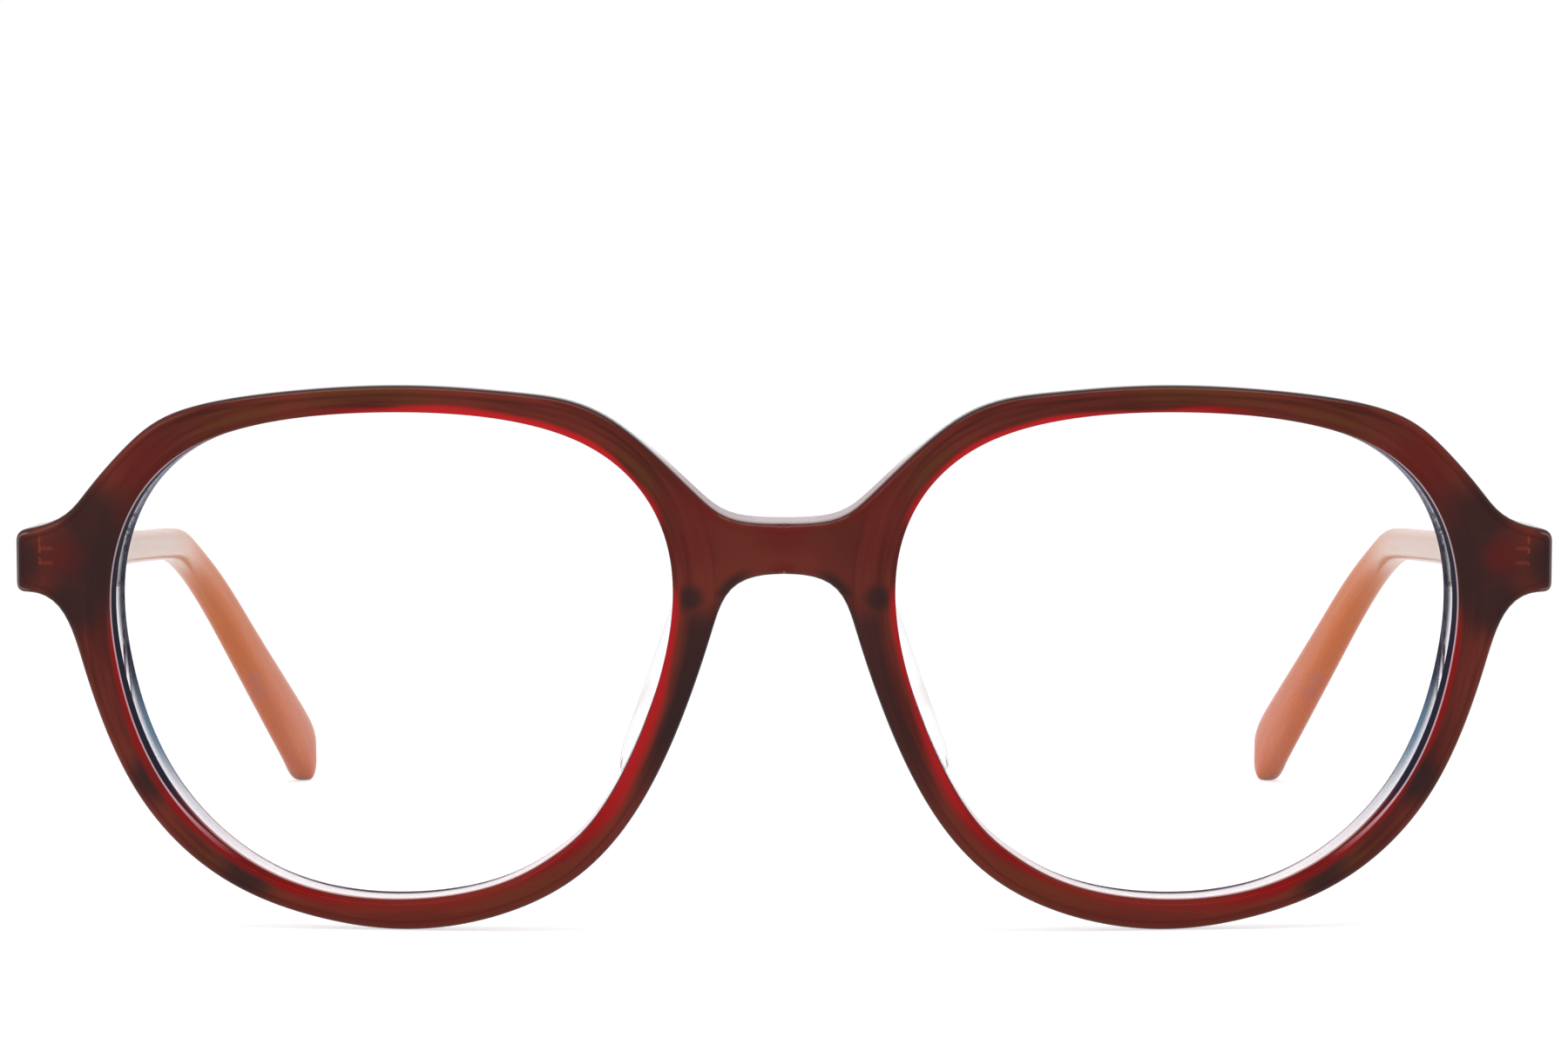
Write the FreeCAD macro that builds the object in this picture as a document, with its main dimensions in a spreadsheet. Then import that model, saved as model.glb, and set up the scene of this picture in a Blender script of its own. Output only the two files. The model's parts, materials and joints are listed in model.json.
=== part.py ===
import FreeCAD, Part
import math
import os
import Sketcher
from FreeCAD import Placement, Rotation, Vector

# Eyeglasses of cut and polished cellulose acetate: a laminated front, two lenses in
# a groove, clear nose pads, and two temples on five-knuckle hinges.
# Millimetres and degrees. The front is drawn in its own frame: X across it, Y to the
# rear, Z up from the lens middle, and its face touches Y zero between the lenses.
# A hinge and its temple are drawn about the hinge pin. The half with X above zero is
# modelled, and the other half mirrors it.

os.makedirs("parts", exist_ok=True)
doc = FreeCAD.newDocument("eyeglasses")

SIZES = {
    # The front, its lens openings and its two bonded layers
    "lens_wide": 51.7,
    "lens_high": 45.6,
    "lens_gap": 20.7,
    "rim_side": 3.1,
    "rim_edge": 2.6,
    "bridge_high": 4.6,
    "bridge_rise": 10.6,
    "end_reach": 10.05,
    "end_high": 5.9,
    "end_rise": 8.35,
    "face_radius": 340.6,
    "face_layer": 1.8,
    "rim_deep": 5.0,
    "bridge_deep": 6.4,
    "end_deep": 5.9,
    "step_inset": 10.2,
    "outer_bevel": 0.5,
    "dome_turn": 36.0,
    "front_tilt": 6.5,
    # The lenses and their groove
    "lens_thick": 2.0,
    "lens_radius": 180.0,
    "groove_back": 2.9,
    "groove_wide": 2.0,
    "groove_deep": 0.6,
    "lens_play": 0.1,
    # The nose pads
    "pad_long": 16.0,
    "pad_wide": 8.0,
    "pad_thick": 2.0,
    "pad_round": 3.7,
    "pad_bevel": 0.6,
    "pad_sink": 1.4,
    "pad_drop": 2.7,
    "pad_side": 10.5,
    "pad_splay": 20.0,
    "pad_slant": 16.0,
    # The hinges and their screws
    "knuckle_radius": 1.4,
    "knuckle_high": 0.84,
    "knuckle_gap": 0.05,
    "screw_radius": 0.6,
    "screw_play": 0.04,
    "head_radius": 0.95,
    "head_deep": 0.45,
    "slot_wide": 0.3,
    "plate_thick": 0.8,
    "leaf_high": 3.4,
    "plate_play": 0.12,
    "tine_long": 2.4,
    "tine_high": 1.2,
    "tine_gap": 0.5,
    "tine_wide": 2.0,
    "tine_offset": 1.0,
    "leaf_long": 6.5,
    "flush_gap": 0.1,
    "anchor_long": 4.0,
    "anchor_high": 1.2,
    "anchor_deep": 1.0,
    "seat_gap": 0.02,
    # The temples and their core wires
    "temple_long": 97.0,
    "tip_long": 45.0,
    "tip_drop": 33.6,
    "temple_toe": 1.05,
    "tip_inward": 14.6,
    "butt_gap": 0.12,
    "butt_high": 5.3,
    "waist_high": 3.2,
    "elbow_high": 4.3,
    "paddle_high": 6.8,
    "temple_thick": 3.7,
    "tip_thick": 3.0,
    "temple_bevel": 0.5,
    "wire_high": 1.5,
    "wire_thick": 0.9,
    "wire_start": 10.0,
    "wire_stop": 14.0,
    "elbow_radius": 34.0,
    # Room that every cut runs past the piece
    "overrun": 2.0,
}

sheet = doc.addObject("Spreadsheet::Sheet", "Sizes")


class Size:
    """A length or angle that carries both its number and its sheet expression."""

    def __init__(self, value, text=None):
        self.value = float(value)
        self.text = text or repr(float(value))

    def combine(self, other, sign, value):
        return Size(value, "(%s %s %s)" % (self.text, sign, other.text))

    def __add__(self, other):
        other = as_size(other)
        return self.combine(other, "+", self.value + other.value)

    def __sub__(self, other):
        other = as_size(other)
        return self.combine(other, "-", self.value - other.value)

    def __mul__(self, other):
        other = as_size(other)
        return self.combine(other, "*", self.value * other.value)

    def __truediv__(self, other):
        other = as_size(other)
        return self.combine(other, "/", self.value / other.value)

    def __neg__(self):
        return as_size(0) - self


def as_size(value):
    return value if isinstance(value, Size) else Size(value)


def sine(angle):
    return Size(math.sin(math.radians(angle.value)), "sin(%s * 1deg)" % angle.text)


def cosine(angle):
    return Size(math.cos(math.radians(angle.value)), "cos(%s * 1deg)" % angle.text)


def write_cell(target, row, name, value):
    """Write one number into a row of a sheet, under its own alias."""
    target.set("A%d" % row, name)
    target.set("B%d" % row, repr(round(value, 6)))
    target.setAlias("B%d" % row, name)
    return Size(value, "%s.%s" % (target.Name, name))


def work_out(name, value):
    """Keep a value found from the shapes in a sheet of its own, so that adding it
    leaves what is already built as it is."""
    own = doc.addObject("Spreadsheet::Sheet", "Found_" + name)
    return write_cell(own, 1, name, value)


S = {name: write_cell(sheet, row, name, value)
     for row, (name, value) in enumerate(SIZES.items(), 1)}
doc.recompute()


# Drawing helpers. Each point of a sketch is held by a bound X and Y distance.


def flat(point):
    return Vector(as_size(point[0]).value, as_size(point[1]).value, 0)


class Drawing:
    """A sketch on an origin plane of a body, whose dimensions follow the sheet."""

    def __init__(self, body, name, role, shift=(0, 0, 0), turn=None):
        plane = [o for o in body.Origin.OriginFeatures if o.Role == role][0]
        self.sketch = body.newObject("Sketcher::SketchObject", name)
        self.sketch.AttachmentSupport = [(plane, "")]
        self.sketch.MapMode = "FlatFace"
        self.held = []
        base = [as_size(s) for s in shift]
        angle = turn or Size(0)
        rotation = Rotation(Vector(0, 1, 0), angle.value)
        self.sketch.AttachmentOffset = Placement(Vector(*[s.value for s in base]), rotation)
        for axis, size in zip("xyz", base):
            self.sketch.setExpression(".AttachmentOffset.Base." + axis, size.text)
        if turn is not None:
            self.sketch.setExpression(".AttachmentOffset.Rotation.Angle", turn.text)

    def hold(self, kind, size, *where):
        size = as_size(size)
        self.held.append((Sketcher.Constraint(kind, *where, size.value), size.text))

    def pin(self, geometry, position, point):
        self.hold("DistanceX", point[0], -1, 1, geometry, position)
        self.hold("DistanceY", point[1], -1, 1, geometry, position)

    def spline(self, poles, closed=False):
        curve = Part.BSplineCurve()
        curve.buildFromPoles([flat(p) for p in poles], closed, 3)
        shape = self.sketch.addGeometry(curve, False)
        self.sketch.exposeInternalGeometry(shape)
        for index, pole in enumerate(poles):
            self.pin(shape + 1 + index, 3, pole)

    def lines(self, points, closed=False):
        ends = points[1:] + points[:1] if closed else points[1:]
        for start, end in zip(points, ends):
            shape = self.sketch.addGeometry(Part.LineSegment(flat(start), flat(end)), False)
            self.pin(shape, 1, start)
            self.pin(shape, 2, end)

    def box(self, left, right, low, high):
        self.lines([(left, low), (right, low), (right, high), (left, high)], closed=True)

    def circle(self, middle, radius):
        ring = Part.Circle(flat(middle), Vector(0, 0, 1), radius.value)
        shape = self.sketch.addGeometry(ring, False)
        self.pin(shape, 3, middle)
        self.hold("Radius", radius, shape)

    def front_arc(self, radius, half_high):
        """The front of a circle about the sketch's origin, between two heights."""
        spread = math.asin(half_high.value / radius.value)
        ring = Part.Circle(Vector(0, 0, 0), Vector(0, 0, 1), radius.value)
        arc = Part.Arc(ring, math.pi - spread, math.pi + spread)
        shape = self.sketch.addGeometry(arc, False)
        self.pin(shape, 3, (0, 0))
        self.hold("Radius", radius, shape)
        self.hold("DistanceY", half_high, -1, 1, shape, 1)
        self.hold("DistanceY", -half_high, -1, 1, shape, 2)
        return shape

    def close(self, shape, far, half_high):
        """Join an arc's two ends round a far upright line, to close its region."""
        ends = [self.sketch.Geometry[shape].StartPoint, self.sketch.Geometry[shape].EndPoint]
        corners = [flat((far, half_high)), flat((far, -half_high))]
        top = self.sketch.addGeometry(Part.LineSegment(ends[0], corners[0]), False)
        side = self.sketch.addGeometry(Part.LineSegment(corners[0], corners[1]), False)
        low = self.sketch.addGeometry(Part.LineSegment(corners[1], ends[1]), False)
        joints = [(shape, 1, top, 1), (top, 2, side, 1), (side, 2, low, 1), (low, 2, shape, 2)]
        for joint in joints:
            self.join(*joint)
        for line in (top, low):
            self.sketch.addConstraint(Sketcher.Constraint("Horizontal", line))
        self.sketch.addConstraint(Sketcher.Constraint("Vertical", side))
        self.hold("DistanceX", far, -1, 1, side, 1)

    def join(self, shape, end, other, other_end):
        self.sketch.addConstraint(
            Sketcher.Constraint("Coincident", shape, end, other, other_end))

    def done(self):
        first = self.sketch.ConstraintCount
        self.sketch.addConstraint([constraint for constraint, text in self.held])
        for index, (constraint, text) in enumerate(self.held):
            self.sketch.setExpression("Constraints[%d]" % (first + index), text)
        return self.sketch


# Feature helpers


def feature(body, kind, name, profile=None, **settings):
    item = body.newObject("PartDesign::" + kind, name)
    if profile is not None:
        item.Profile = profile
    for key, value in settings.items():
        if isinstance(value, Size):
            item.setExpression(key, value.text)
        else:
            setattr(item, key, value)
    return item


def ruled_loft(body, kind, name, sketches):
    return feature(body, kind, name, sketches[0], Sections=sketches[1:], Ruled=True)


def refresh(*items):
    """Recompute the document until the items have caught up with what they use."""
    for attempt in range(6):
        doc.recompute()
        if not any("Touched" in item.State for item in items):
            return
    raise RuntimeError("not recomputed: " + ", ".join(item.Label for item in items))


def picked_edges(body, name, test):
    """The edges of the body's last feature that a test picks out."""
    base = body.Tip
    refresh(base)
    picked = ["Edge%d" % n for n, edge in enumerate(base.Shape.Edges, 1) if test(edge)]
    if not picked:
        raise RuntimeError("%s finds no edge on %s" % (name, body.Label))
    return base, picked


def fillet(body, name, test, radius):
    return feature(body, "Fillet", name, Base=picked_edges(body, name, test), Radius=radius)


def bevel(body, name, test, size):
    return feature(body, "Chamfer", name, Base=picked_edges(body, name, test), Size=size)


SAMPLE_SHARES = (0.1, 0.5, 0.9)


def samples(edge):
    first, last = edge.ParameterRange
    return [edge.valueAt(first + (last - first) * share) for share in SAMPLE_SHARES]


# The front: places worked out from the sizes

R = S["face_radius"]
ZERO = Size(0)
LENS_X = (S["lens_wide"] + S["lens_gap"]) * 0.5
HALF_WIDE = S["lens_wide"] * 0.5
HALF_HIGH = S["lens_high"] * 0.5
HALF_GAP = S["lens_gap"] * 0.5
LENS_EDGE = LENS_X + HALF_WIDE
END_OUT = LENS_EDGE + S["end_reach"]
STEP_X = END_OUT - S["step_inset"]
WRAP = work_out("lens_wrap", math.degrees(math.atan(LENS_X.value / R.value)))


def sag(x):
    """How far the face of the front falls back at a distance from its middle."""
    return x * x / (R * 2)


BUTT_BACK = sag(END_OUT - S["end_reach"] * 0.5) + S["end_deep"]
BLANK_BACK = BUTT_BACK + S["overrun"] * 2
CUT_AHEAD = -(sag(END_OUT) + S["overrun"] * 3)
CUT_BEHIND = BLANK_BACK + S["overrun"] * 2
DOME_HIGH = S["lens_high"] * 0.8


# Outline shares: each point counts from one named anchor of the front


def rim(across, up):
    """Round the lens middle, in half sizes of the rim."""
    return LENS_X + (HALF_WIDE + S["rim_side"]) * across, (HALF_HIGH + S["rim_edge"]) * up


def end(across, up):
    """On the end piece, from the lens edge out and about its own middle height."""
    return LENS_EDGE + S["end_reach"] * across, S["end_rise"] + S["end_high"] * 0.5 * up


def bridge(across, up):
    """On the bridge, from the middle out and about its own middle height."""
    return HALF_GAP * across, S["bridge_rise"] + S["bridge_high"] * 0.5 * up


LOWER_SHARES = [
    end(1.0, -1.0), end(0.55, -0.76), rim(1.025, -0.045), rim(0.87, -0.545),
    rim(0.58, -0.865), rim(0.225, -0.995), rim(-0.15, -1.03), rim(-0.62, -0.845),
    rim(-0.88, -0.395), bridge(0.585, -2.8), bridge(0.49, -1.0), bridge(0, -1.0),
]
UPPER_SHARES = [
    end(1.0, 1.0), end(0.54, 1.24), rim(1.015, 0.58), rim(0.855, 0.785),
    rim(0.71, 0.915), rim(0.34, 0.98), rim(-0.075, 1.01), rim(-0.42, 0.975),
    rim(-0.695, 0.945), bridge(0.63, 1.43), bridge(0.455, 1.0), bridge(0, 1.0),
]
LENS_SHARES = [
    (1.00, -0.05), (1.02, 0.44), (0.765, 0.915), (0.015, 1.03), (-0.74, 0.965),
    (-1.05, 0.505), (-0.98, -0.08), (-0.76, -0.63), (-0.58, -0.815),
    (-0.295, -1.00), (0.37, -1.03), (0.84, -0.605),
]


def cone(depth):
    """The share to which every wall has drawn in at a depth behind the face."""
    return (R - depth) / R


def front_outline(body, name, depth):
    draw = Drawing(body, name, "XZ_Plane", (0, 0, -depth))
    lower = [(x * cone(depth), z * cone(depth)) for x, z in LOWER_SHARES]
    upper = [(x * cone(depth), z * cone(depth)) for x, z in UPPER_SHARES]
    draw.spline(lower)
    draw.spline(upper)
    draw.lines([lower[0], upper[0]])
    draw.lines([lower[-1], upper[-1]])
    return draw.done()


def lens_outline(body, name, depth, spread=ZERO, on_front=True):
    """The lens shape in a plane square to the lens axis, grown by a spread."""
    high = (HALF_HIGH + spread) * cone(depth)
    wide = (HALF_WIDE + spread) * cone(depth)
    if on_front:
        shift = ((R - depth) * sine(WRAP), ZERO, (R - depth) * cosine(WRAP) - R)
        draw = Drawing(body, name, "XZ_Plane", shift, WRAP)
    else:
        draw = Drawing(body, name, "XZ_Plane", (0, 0, -depth))
    draw.spline([(wide * x, high * z) for x, z in LENS_SHARES], closed=True)
    return draw.done()


def dome_cut(body, name, middle, radius, far):
    """Turn away what lies between a ball about a middle behind and a far wall."""
    draw = Drawing(body, name + "_profile", "YZ_Plane", (middle, 0, 0))
    arc = draw.front_arc(radius, DOME_HIGH)
    draw.close(arc, far - middle, DOME_HIGH)
    profile = draw.done()
    return feature(body, "Groove", name, profile, ReferenceAxis=(profile, ["V_Axis"]),
                   Angle=S["dome_turn"], Midplane=True)


def on_ball(radius):
    """A test for edges that lie on a ball about the centre of the face."""
    middle = Vector(0, R.value, 0)
    return lambda edge: all(
        abs(p.distanceToPoint(middle) - radius.value) < 1e-3 for p in samples(edge))


def on_middle(edge):
    return all(abs(p.x) < 1e-6 for p in samples(edge))


def round_opening(edge):
    """The edges of the lens opening are closed loops."""
    return edge.isClosed()


def front_blank(name):
    """Half of the bent sheet: the outline, drawn in towards the face's centre."""
    body = doc.addObject("PartDesign::Body", name)
    ruled_loft(body, "AdditiveLoft", "blank", [
        front_outline(body, "outline_ahead", -S["overrun"]),
        front_outline(body, "outline_behind", BLANK_BACK),
    ])
    return body


def cut_opening(body):
    ruled_loft(body, "SubtractiveLoft", "lens_opening", [
        lens_outline(body, "opening_ahead", -S["overrun"]),
        lens_outline(body, "opening_behind", BLANK_BACK),
    ])


def mirror_front(body):
    """Add the other half of the front by mirroring all that is built so far."""
    refresh(body.Tip)
    plane = [o for o in body.Origin.OriginFeatures if o.Role == "YZ_Plane"][0]
    whole = feature(body, "Mirrored", "other_half", MirrorPlane=(plane, [""]),
                    TransformMode="Whole shape")
    body.Tip = whole
    return body


# The front face layer, of patterned sheet

face = front_blank("front_face_layer")
dome_cut(face, "face_dome", R, R, CUT_AHEAD)
dome_cut(face, "bond_dome", R, R - S["face_layer"], CUT_BEHIND)
cut_opening(face)
bevel(face, "outer_edge", lambda edge: on_ball(R)(edge) and not on_middle(edge)
      and not round_opening(edge), S["outer_bevel"])
mirror_front(face)


# The front back layer, of clear sheet, which is thicker at the bridge and end pieces

BOND = R - S["face_layer"]
FRONT_SIDE = END_OUT + S["overrun"]
HINGE_RISE = S["end_rise"] * cone(BUTT_BACK)
GROOVE_BACK = HALF_WIDE * HALF_HIGH / (R * 2) + S["groove_back"]


def rear(x, deep):
    return x, sag(x) + deep


REAR_SHARES = [(0.0, 0.0), (0.3, 0.0), (0.6, 0.3), (1.1, 1.0), (2.5, 1.0), (4.0, 1.0), (5.2, 1.0)]
REAR_PROFILE = [
    rear(HALF_GAP * out, S["bridge_deep"] + (S["rim_deep"] - S["bridge_deep"]) * thinner)
    for out, thinner in REAR_SHARES] + [rear(STEP_X, S["rim_deep"])]


def cut_rear(body):
    """Mill the rear face, as seen from above, up to the end piece's step."""
    draw = Drawing(body, "rear_profile", "XY_Plane", (0, 0, DOME_HIGH))
    draw.spline(REAR_PROFILE)
    middle = -S["overrun"]
    draw.lines([REAR_PROFILE[-1], (STEP_X, CUT_BEHIND), (middle, CUT_BEHIND),
                (middle, S["bridge_deep"]), REAR_PROFILE[0]])
    feature(body, "Pocket", "rear_face", draw.done(), Length=DOME_HIGH * 2)


def cut_butt(body):
    """Cut the end piece's rear flat, upright when the front leans on its rims."""
    lean = DOME_HIGH * sine(S["front_tilt"]) / cosine(S["front_tilt"])
    top = HINGE_RISE + DOME_HIGH
    low = HINGE_RISE - DOME_HIGH
    far = CUT_BEHIND + lean * 2
    draw = Drawing(body, "butt_profile", "YZ_Plane", (0, 0, FRONT_SIDE))
    draw.lines([(BUTT_BACK + lean, top), (far, top), (far, low), (BUTT_BACK - lean, low)],
               closed=True)
    feature(body, "Pocket", "butt_face", draw.done(), Length=FRONT_SIDE - STEP_X)


def cut_groove(body):
    """The lens groove: a V all round the opening, drawn past its mouth."""
    wide = S["groove_wide"]
    deep = S["groove_deep"]
    sections = [(-wide, -deep), (ZERO, deep), (wide, -deep)]
    ruled_loft(body, "SubtractiveLoft", "lens_groove", [
        lens_outline(body, "groove_section", GROOVE_BACK + along, out)
        for along, out in sections])


back = front_blank("front_back_blank")
dome_cut(back, "bond_dome", R, BOND, CUT_AHEAD)
cut_rear(back)
cut_butt(back)
cut_opening(back)
cut_groove(back)
mirror_front(back)


# The pose: the rims and the temple tips stand on the ground, and the hinge pins are
# upright. Lift and temple slope are worked out here from the shapes above.


def placed(shape, place):
    copy = shape.copy()
    copy.Placement = place.multiply(copy.Placement)
    return copy


def true_box(shape):
    return shape.optimalBoundingBox(False, False)


refresh(face, back)
TILTED = Placement(Vector(0, 0, 0), Rotation(Vector(1, 0, 0), S["front_tilt"].value))
STAND_LIFT = work_out("stand_lift", -min(
    true_box(placed(o.Tip.Shape, TILTED)).ZMin for o in (face, back)))
PIN_BACK = S["knuckle_radius"] + S["plate_play"]
PIN_X = END_OUT * cone(BUTT_BACK) - S["flush_gap"] - S["temple_thick"] - PIN_BACK
BUTT_MIDDLE = TILTED.multVec(Vector(0, BUTT_BACK.value, HINGE_RISE.value))
PIN_Y = work_out("pin_back", BUTT_MIDDLE.y + PIN_BACK.value)
PIN_Z = work_out("pin_high", BUTT_MIDDLE.z + STAND_LIFT.value)


# The temple's outlines, about the hinge pin: X out, Y to the rear, Z up. From the side
# it has a long leg and a drooping tip leg, with half heights set off square to each.

BUTT_Y = -PIN_BACK + S["butt_gap"]
OUTER_X = PIN_BACK + S["temple_thick"]
TOP_SHARES = [
    # leg, way along that leg, half height as a share of the named height
    ("long", 0.14, "butt_high", 0.94),
    ("long", 0.34, "waist_high", 1.02),
    ("long", 0.62, "waist_high", 1.0),
    ("long", 0.86, "waist_high", 1.05),
    ("long", 0.95, "elbow_high", 0.84),
    ("tip", 0.15, "elbow_high", 1.0),
    ("tip", 0.5, "paddle_high", 0.86),
    ("tip", 0.8, "paddle_high", 1.0),
    ("tip", 0.985, "paddle_high", 1.04),
]
END_SHARES = [(1.02, 0.3), (1.03, -0.5)]


def leg_point(leg, share, up, slope):
    """A point on a leg, set off square to it, for a given slope of the long leg."""
    droop = slope + S["tip_drop"]
    along = S["temple_long"] * share if leg == "long" else S["tip_long"] * share
    angle = slope if leg == "long" else droop
    start = (ZERO, ZERO) if leg == "long" else (
        S["temple_long"] * cosine(slope), -(S["temple_long"] * sine(slope)))
    return (start[0] + along * cosine(angle) + up * sine(angle),
            start[1] - along * sine(angle) + up * cosine(angle))


def side_poles(slope):
    """The temple's outline from the side, from the butt's top round to its foot."""
    half = {name: S[name] * 0.5 for name in ("butt_high", "waist_high", "elbow_high",
                                             "paddle_high")}
    top = [leg_point(leg, share, half[name] * high, slope)
           for leg, share, name, high in TOP_SHARES]
    tip = [leg_point("tip", share, half["paddle_high"] * high, slope)
           for share, high in END_SHARES]
    foot = [leg_point(leg, share, -half[name] * high, slope)
            for leg, share, name, high in reversed(TOP_SHARES)]
    return [(BUTT_Y, half["butt_high"])] + top + tip + foot + [(BUTT_Y, -half["butt_high"])]


def lowest(slope):
    curve = Part.BSplineCurve()
    curve.buildFromPoles([flat(p) for p in side_poles(Size(slope))], False, 3)
    return true_box(curve.toShape()).YMin


def rest_slope():
    """The slope of the long leg at which the tip just reaches the ground."""
    before, now = 3.0, 5.0
    while abs(lowest(now) + PIN_Z.value) > 1e-5:
        rate = (lowest(now) - lowest(before)) / (now - before)
        before, now = now, now - (lowest(now) + PIN_Z.value) / rate
    return now


SLOPE = work_out("temple_slope", rest_slope())
ELBOW_Y = S["temple_long"] * cosine(SLOPE)
TIP_Y = S["tip_long"] * cosine(SLOPE + S["tip_drop"])


def tangent(angle):
    return sine(angle) / cosine(angle)


def plan_point(leg, share, out):
    """A point of the temple seen from above, set off from its middle line."""
    straight = S["wire_start"]
    toe = tangent(S["temple_toe"])
    turned = tangent(S["tip_inward"])
    middle = OUTER_X - S["temple_thick"] * 0.5
    if leg == "butt":
        return middle + out, BUTT_Y + (straight - BUTT_Y) * share
    if leg == "long":
        run = (ELBOW_Y - straight) * share
        return middle + out - run * toe, straight + run
    bend = (ELBOW_Y - straight) * toe
    return middle + out - bend - TIP_Y * share * turned, ELBOW_Y + TIP_Y * share


# The temple: a plank cut to both outlines, with its long edges bevelled

PLAN_SHARES = [
    # leg, way along that leg, share of the taper from the temple's to the tip's thickness
    ("butt", 0.3, 0.0), ("butt", 0.65, 0.0), ("butt", 1.0, 0.0), ("long", 0.3, 0.2),
    ("long", 0.7, 0.5), ("long", 0.88, 0.7), ("long", 1.02, 0.9), ("tip", 0.2, 1.0),
    ("tip", 0.55, 1.0), ("tip", 1.3, 1.0),
]


def plan_poles(side):
    """One long wall of the temple from above: side is 1 outside and -1 inside."""
    poles = [(OUTER_X if side > 0 else PIN_BACK, BUTT_Y - S["overrun"])]
    for leg, share, taper in PLAN_SHARES:
        thick = S["temple_thick"] + (S["tip_thick"] - S["temple_thick"]) * taper
        poles.append(plan_point(leg, share, thick * 0.5 * side))
    return poles


def cut_plan(body):
    """Leave only what lies inside the plan outline, which stands as an island."""
    high = S["temple_long"]
    wide = S["temple_long"] * 0.5
    far = S["temple_long"] + S["tip_long"] * 1.5
    outer = plan_poles(1)
    inner = plan_poles(-1)
    draw = Drawing(body, "plan_outline", "XY_Plane", (0, 0, high))
    draw.spline(outer)
    draw.spline(inner)
    draw.lines([outer[0], inner[0]])
    draw.lines([outer[-1], inner[-1]])
    draw.box(-wide, wide, BUTT_Y - S["overrun"] * 2, far)
    feature(body, "Pocket", "plan", draw.done(), Length=high * 2)


temple = doc.addObject("PartDesign::Body", "temple_blank")
profile = Drawing(temple, "side_outline", "YZ_Plane", (0, 0, -S["temple_long"] * 0.5))
poles = side_poles(SLOPE)
profile.spline(poles)
profile.lines([poles[0], poles[-1]])
feature(temple, "Pad", "plank", profile.done(), Length=S["temple_long"])
cut_plan(temple)
bevel(temple, "long_edges", lambda edge: edge.Length > S["temple_long"].value,
      S["temple_bevel"])


# The core wire: a straight run, a bend that meets both legs, and a second straight run


def middle_point(leg, y):
    """A point on a leg's middle line at a distance behind the hinge pin."""
    if leg == "long":
        x = OUTER_X - S["temple_thick"] * 0.5 - (y - S["wire_start"]) * tangent(S["temple_toe"])
        z = -(y * tangent(SLOPE))
    else:
        x = ELBOW_X - (y - ELBOW_Y) * tangent(S["tip_inward"])
        z = ELBOW_Z - (y - ELBOW_Y) * tangent(SLOPE + S["tip_drop"])
    return Vector(x.value, as_size(y).value, z.value)


ELBOW_X = OUTER_X - S["temple_thick"] * 0.5 - (ELBOW_Y - S["wire_start"]) * tangent(
    S["temple_toe"])
ELBOW_Z = -(ELBOW_Y * tangent(SLOPE))
WIRE_END_Y = ELBOW_Y + TIP_Y - S["wire_stop"] * cosine(SLOPE + S["tip_drop"])


def wire_shape(name, room):
    """A flat wire along both legs, grown all round by some room."""
    start = middle_point("long", S["wire_start"] - room)
    corner = middle_point("long", ELBOW_Y)
    end = middle_point("tip", WIRE_END_Y + room)
    before = (start - corner).normalize()
    after = (end - corner).normalize()
    bend = math.pi - before.getAngle(after)
    reach = S["elbow_radius"].value * math.tan(bend / 2)
    inward = (before + after).normalize()
    arc_middle = corner + inward * (S["elbow_radius"].value * (1 / math.cos(bend / 2) - 1))
    enter = corner + before * reach
    leave = corner + after * reach
    path = Part.Wire([
        Part.makeLine(start, enter),
        Part.Arc(enter, arc_middle, leave).toShape(),
        Part.makeLine(leave, end),
    ])
    thick = before.cross(after).normalize() * (S["wire_thick"] * 0.5 + room).value
    high = thick.cross(before).normalize() * (S["wire_high"] * 0.5 + room).value
    corners = [start + thick + high, start - thick + high, start - thick - high,
               start + thick - high]
    section = Part.Face(Part.makePolygon(corners + corners[:1]))
    item = doc.addObject("Part::Feature", name)
    item.Shape = path.makePipe(section)
    return item


core_wire = wire_shape("core_wire_right", ZERO)
core_bore = wire_shape("core_bore", S["seat_gap"])


# The hinges, drawn about the pin. The front's three knuckles stand between and beside
# the temple's two, and each set is one piece with its plate.

PITCH = S["knuckle_high"] + S["knuckle_gap"]
STACK_HIGH = PITCH * 4 + S["knuckle_high"]


def front_plate(body, room, past):
    """The plate and two tines that sit in the end piece.

    A seat for them is grown by some room and runs past the acetate's surface."""
    thick = S["plate_thick"]
    tine_in = S["tine_offset"]
    tine_out = tine_in + S["tine_wide"]
    draw = Drawing(body, "plate_profile", "XY_Plane")
    draw.box(-S["knuckle_radius"] - room, tine_out + room, -PIN_BACK - thick - room,
             -PIN_BACK + past)
    feature(body, "Pad", "plate", draw.done(), Length=STACK_HIGH + room * 2, Midplane=True)
    draw = Drawing(body, "tine_profile", "XZ_Plane", (0, 0, PIN_BACK + thick * 0.5))
    low = S["tine_gap"] * 0.5
    high = low + S["tine_high"]
    draw.box(tine_in - room, tine_out + room, low - room, high + room)
    draw.box(tine_in - room, tine_out + room, -high - room, -low + room)
    feature(body, "Pad", "tines", draw.done(), Length=thick * 0.5 + S["tine_long"] + room)


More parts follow.
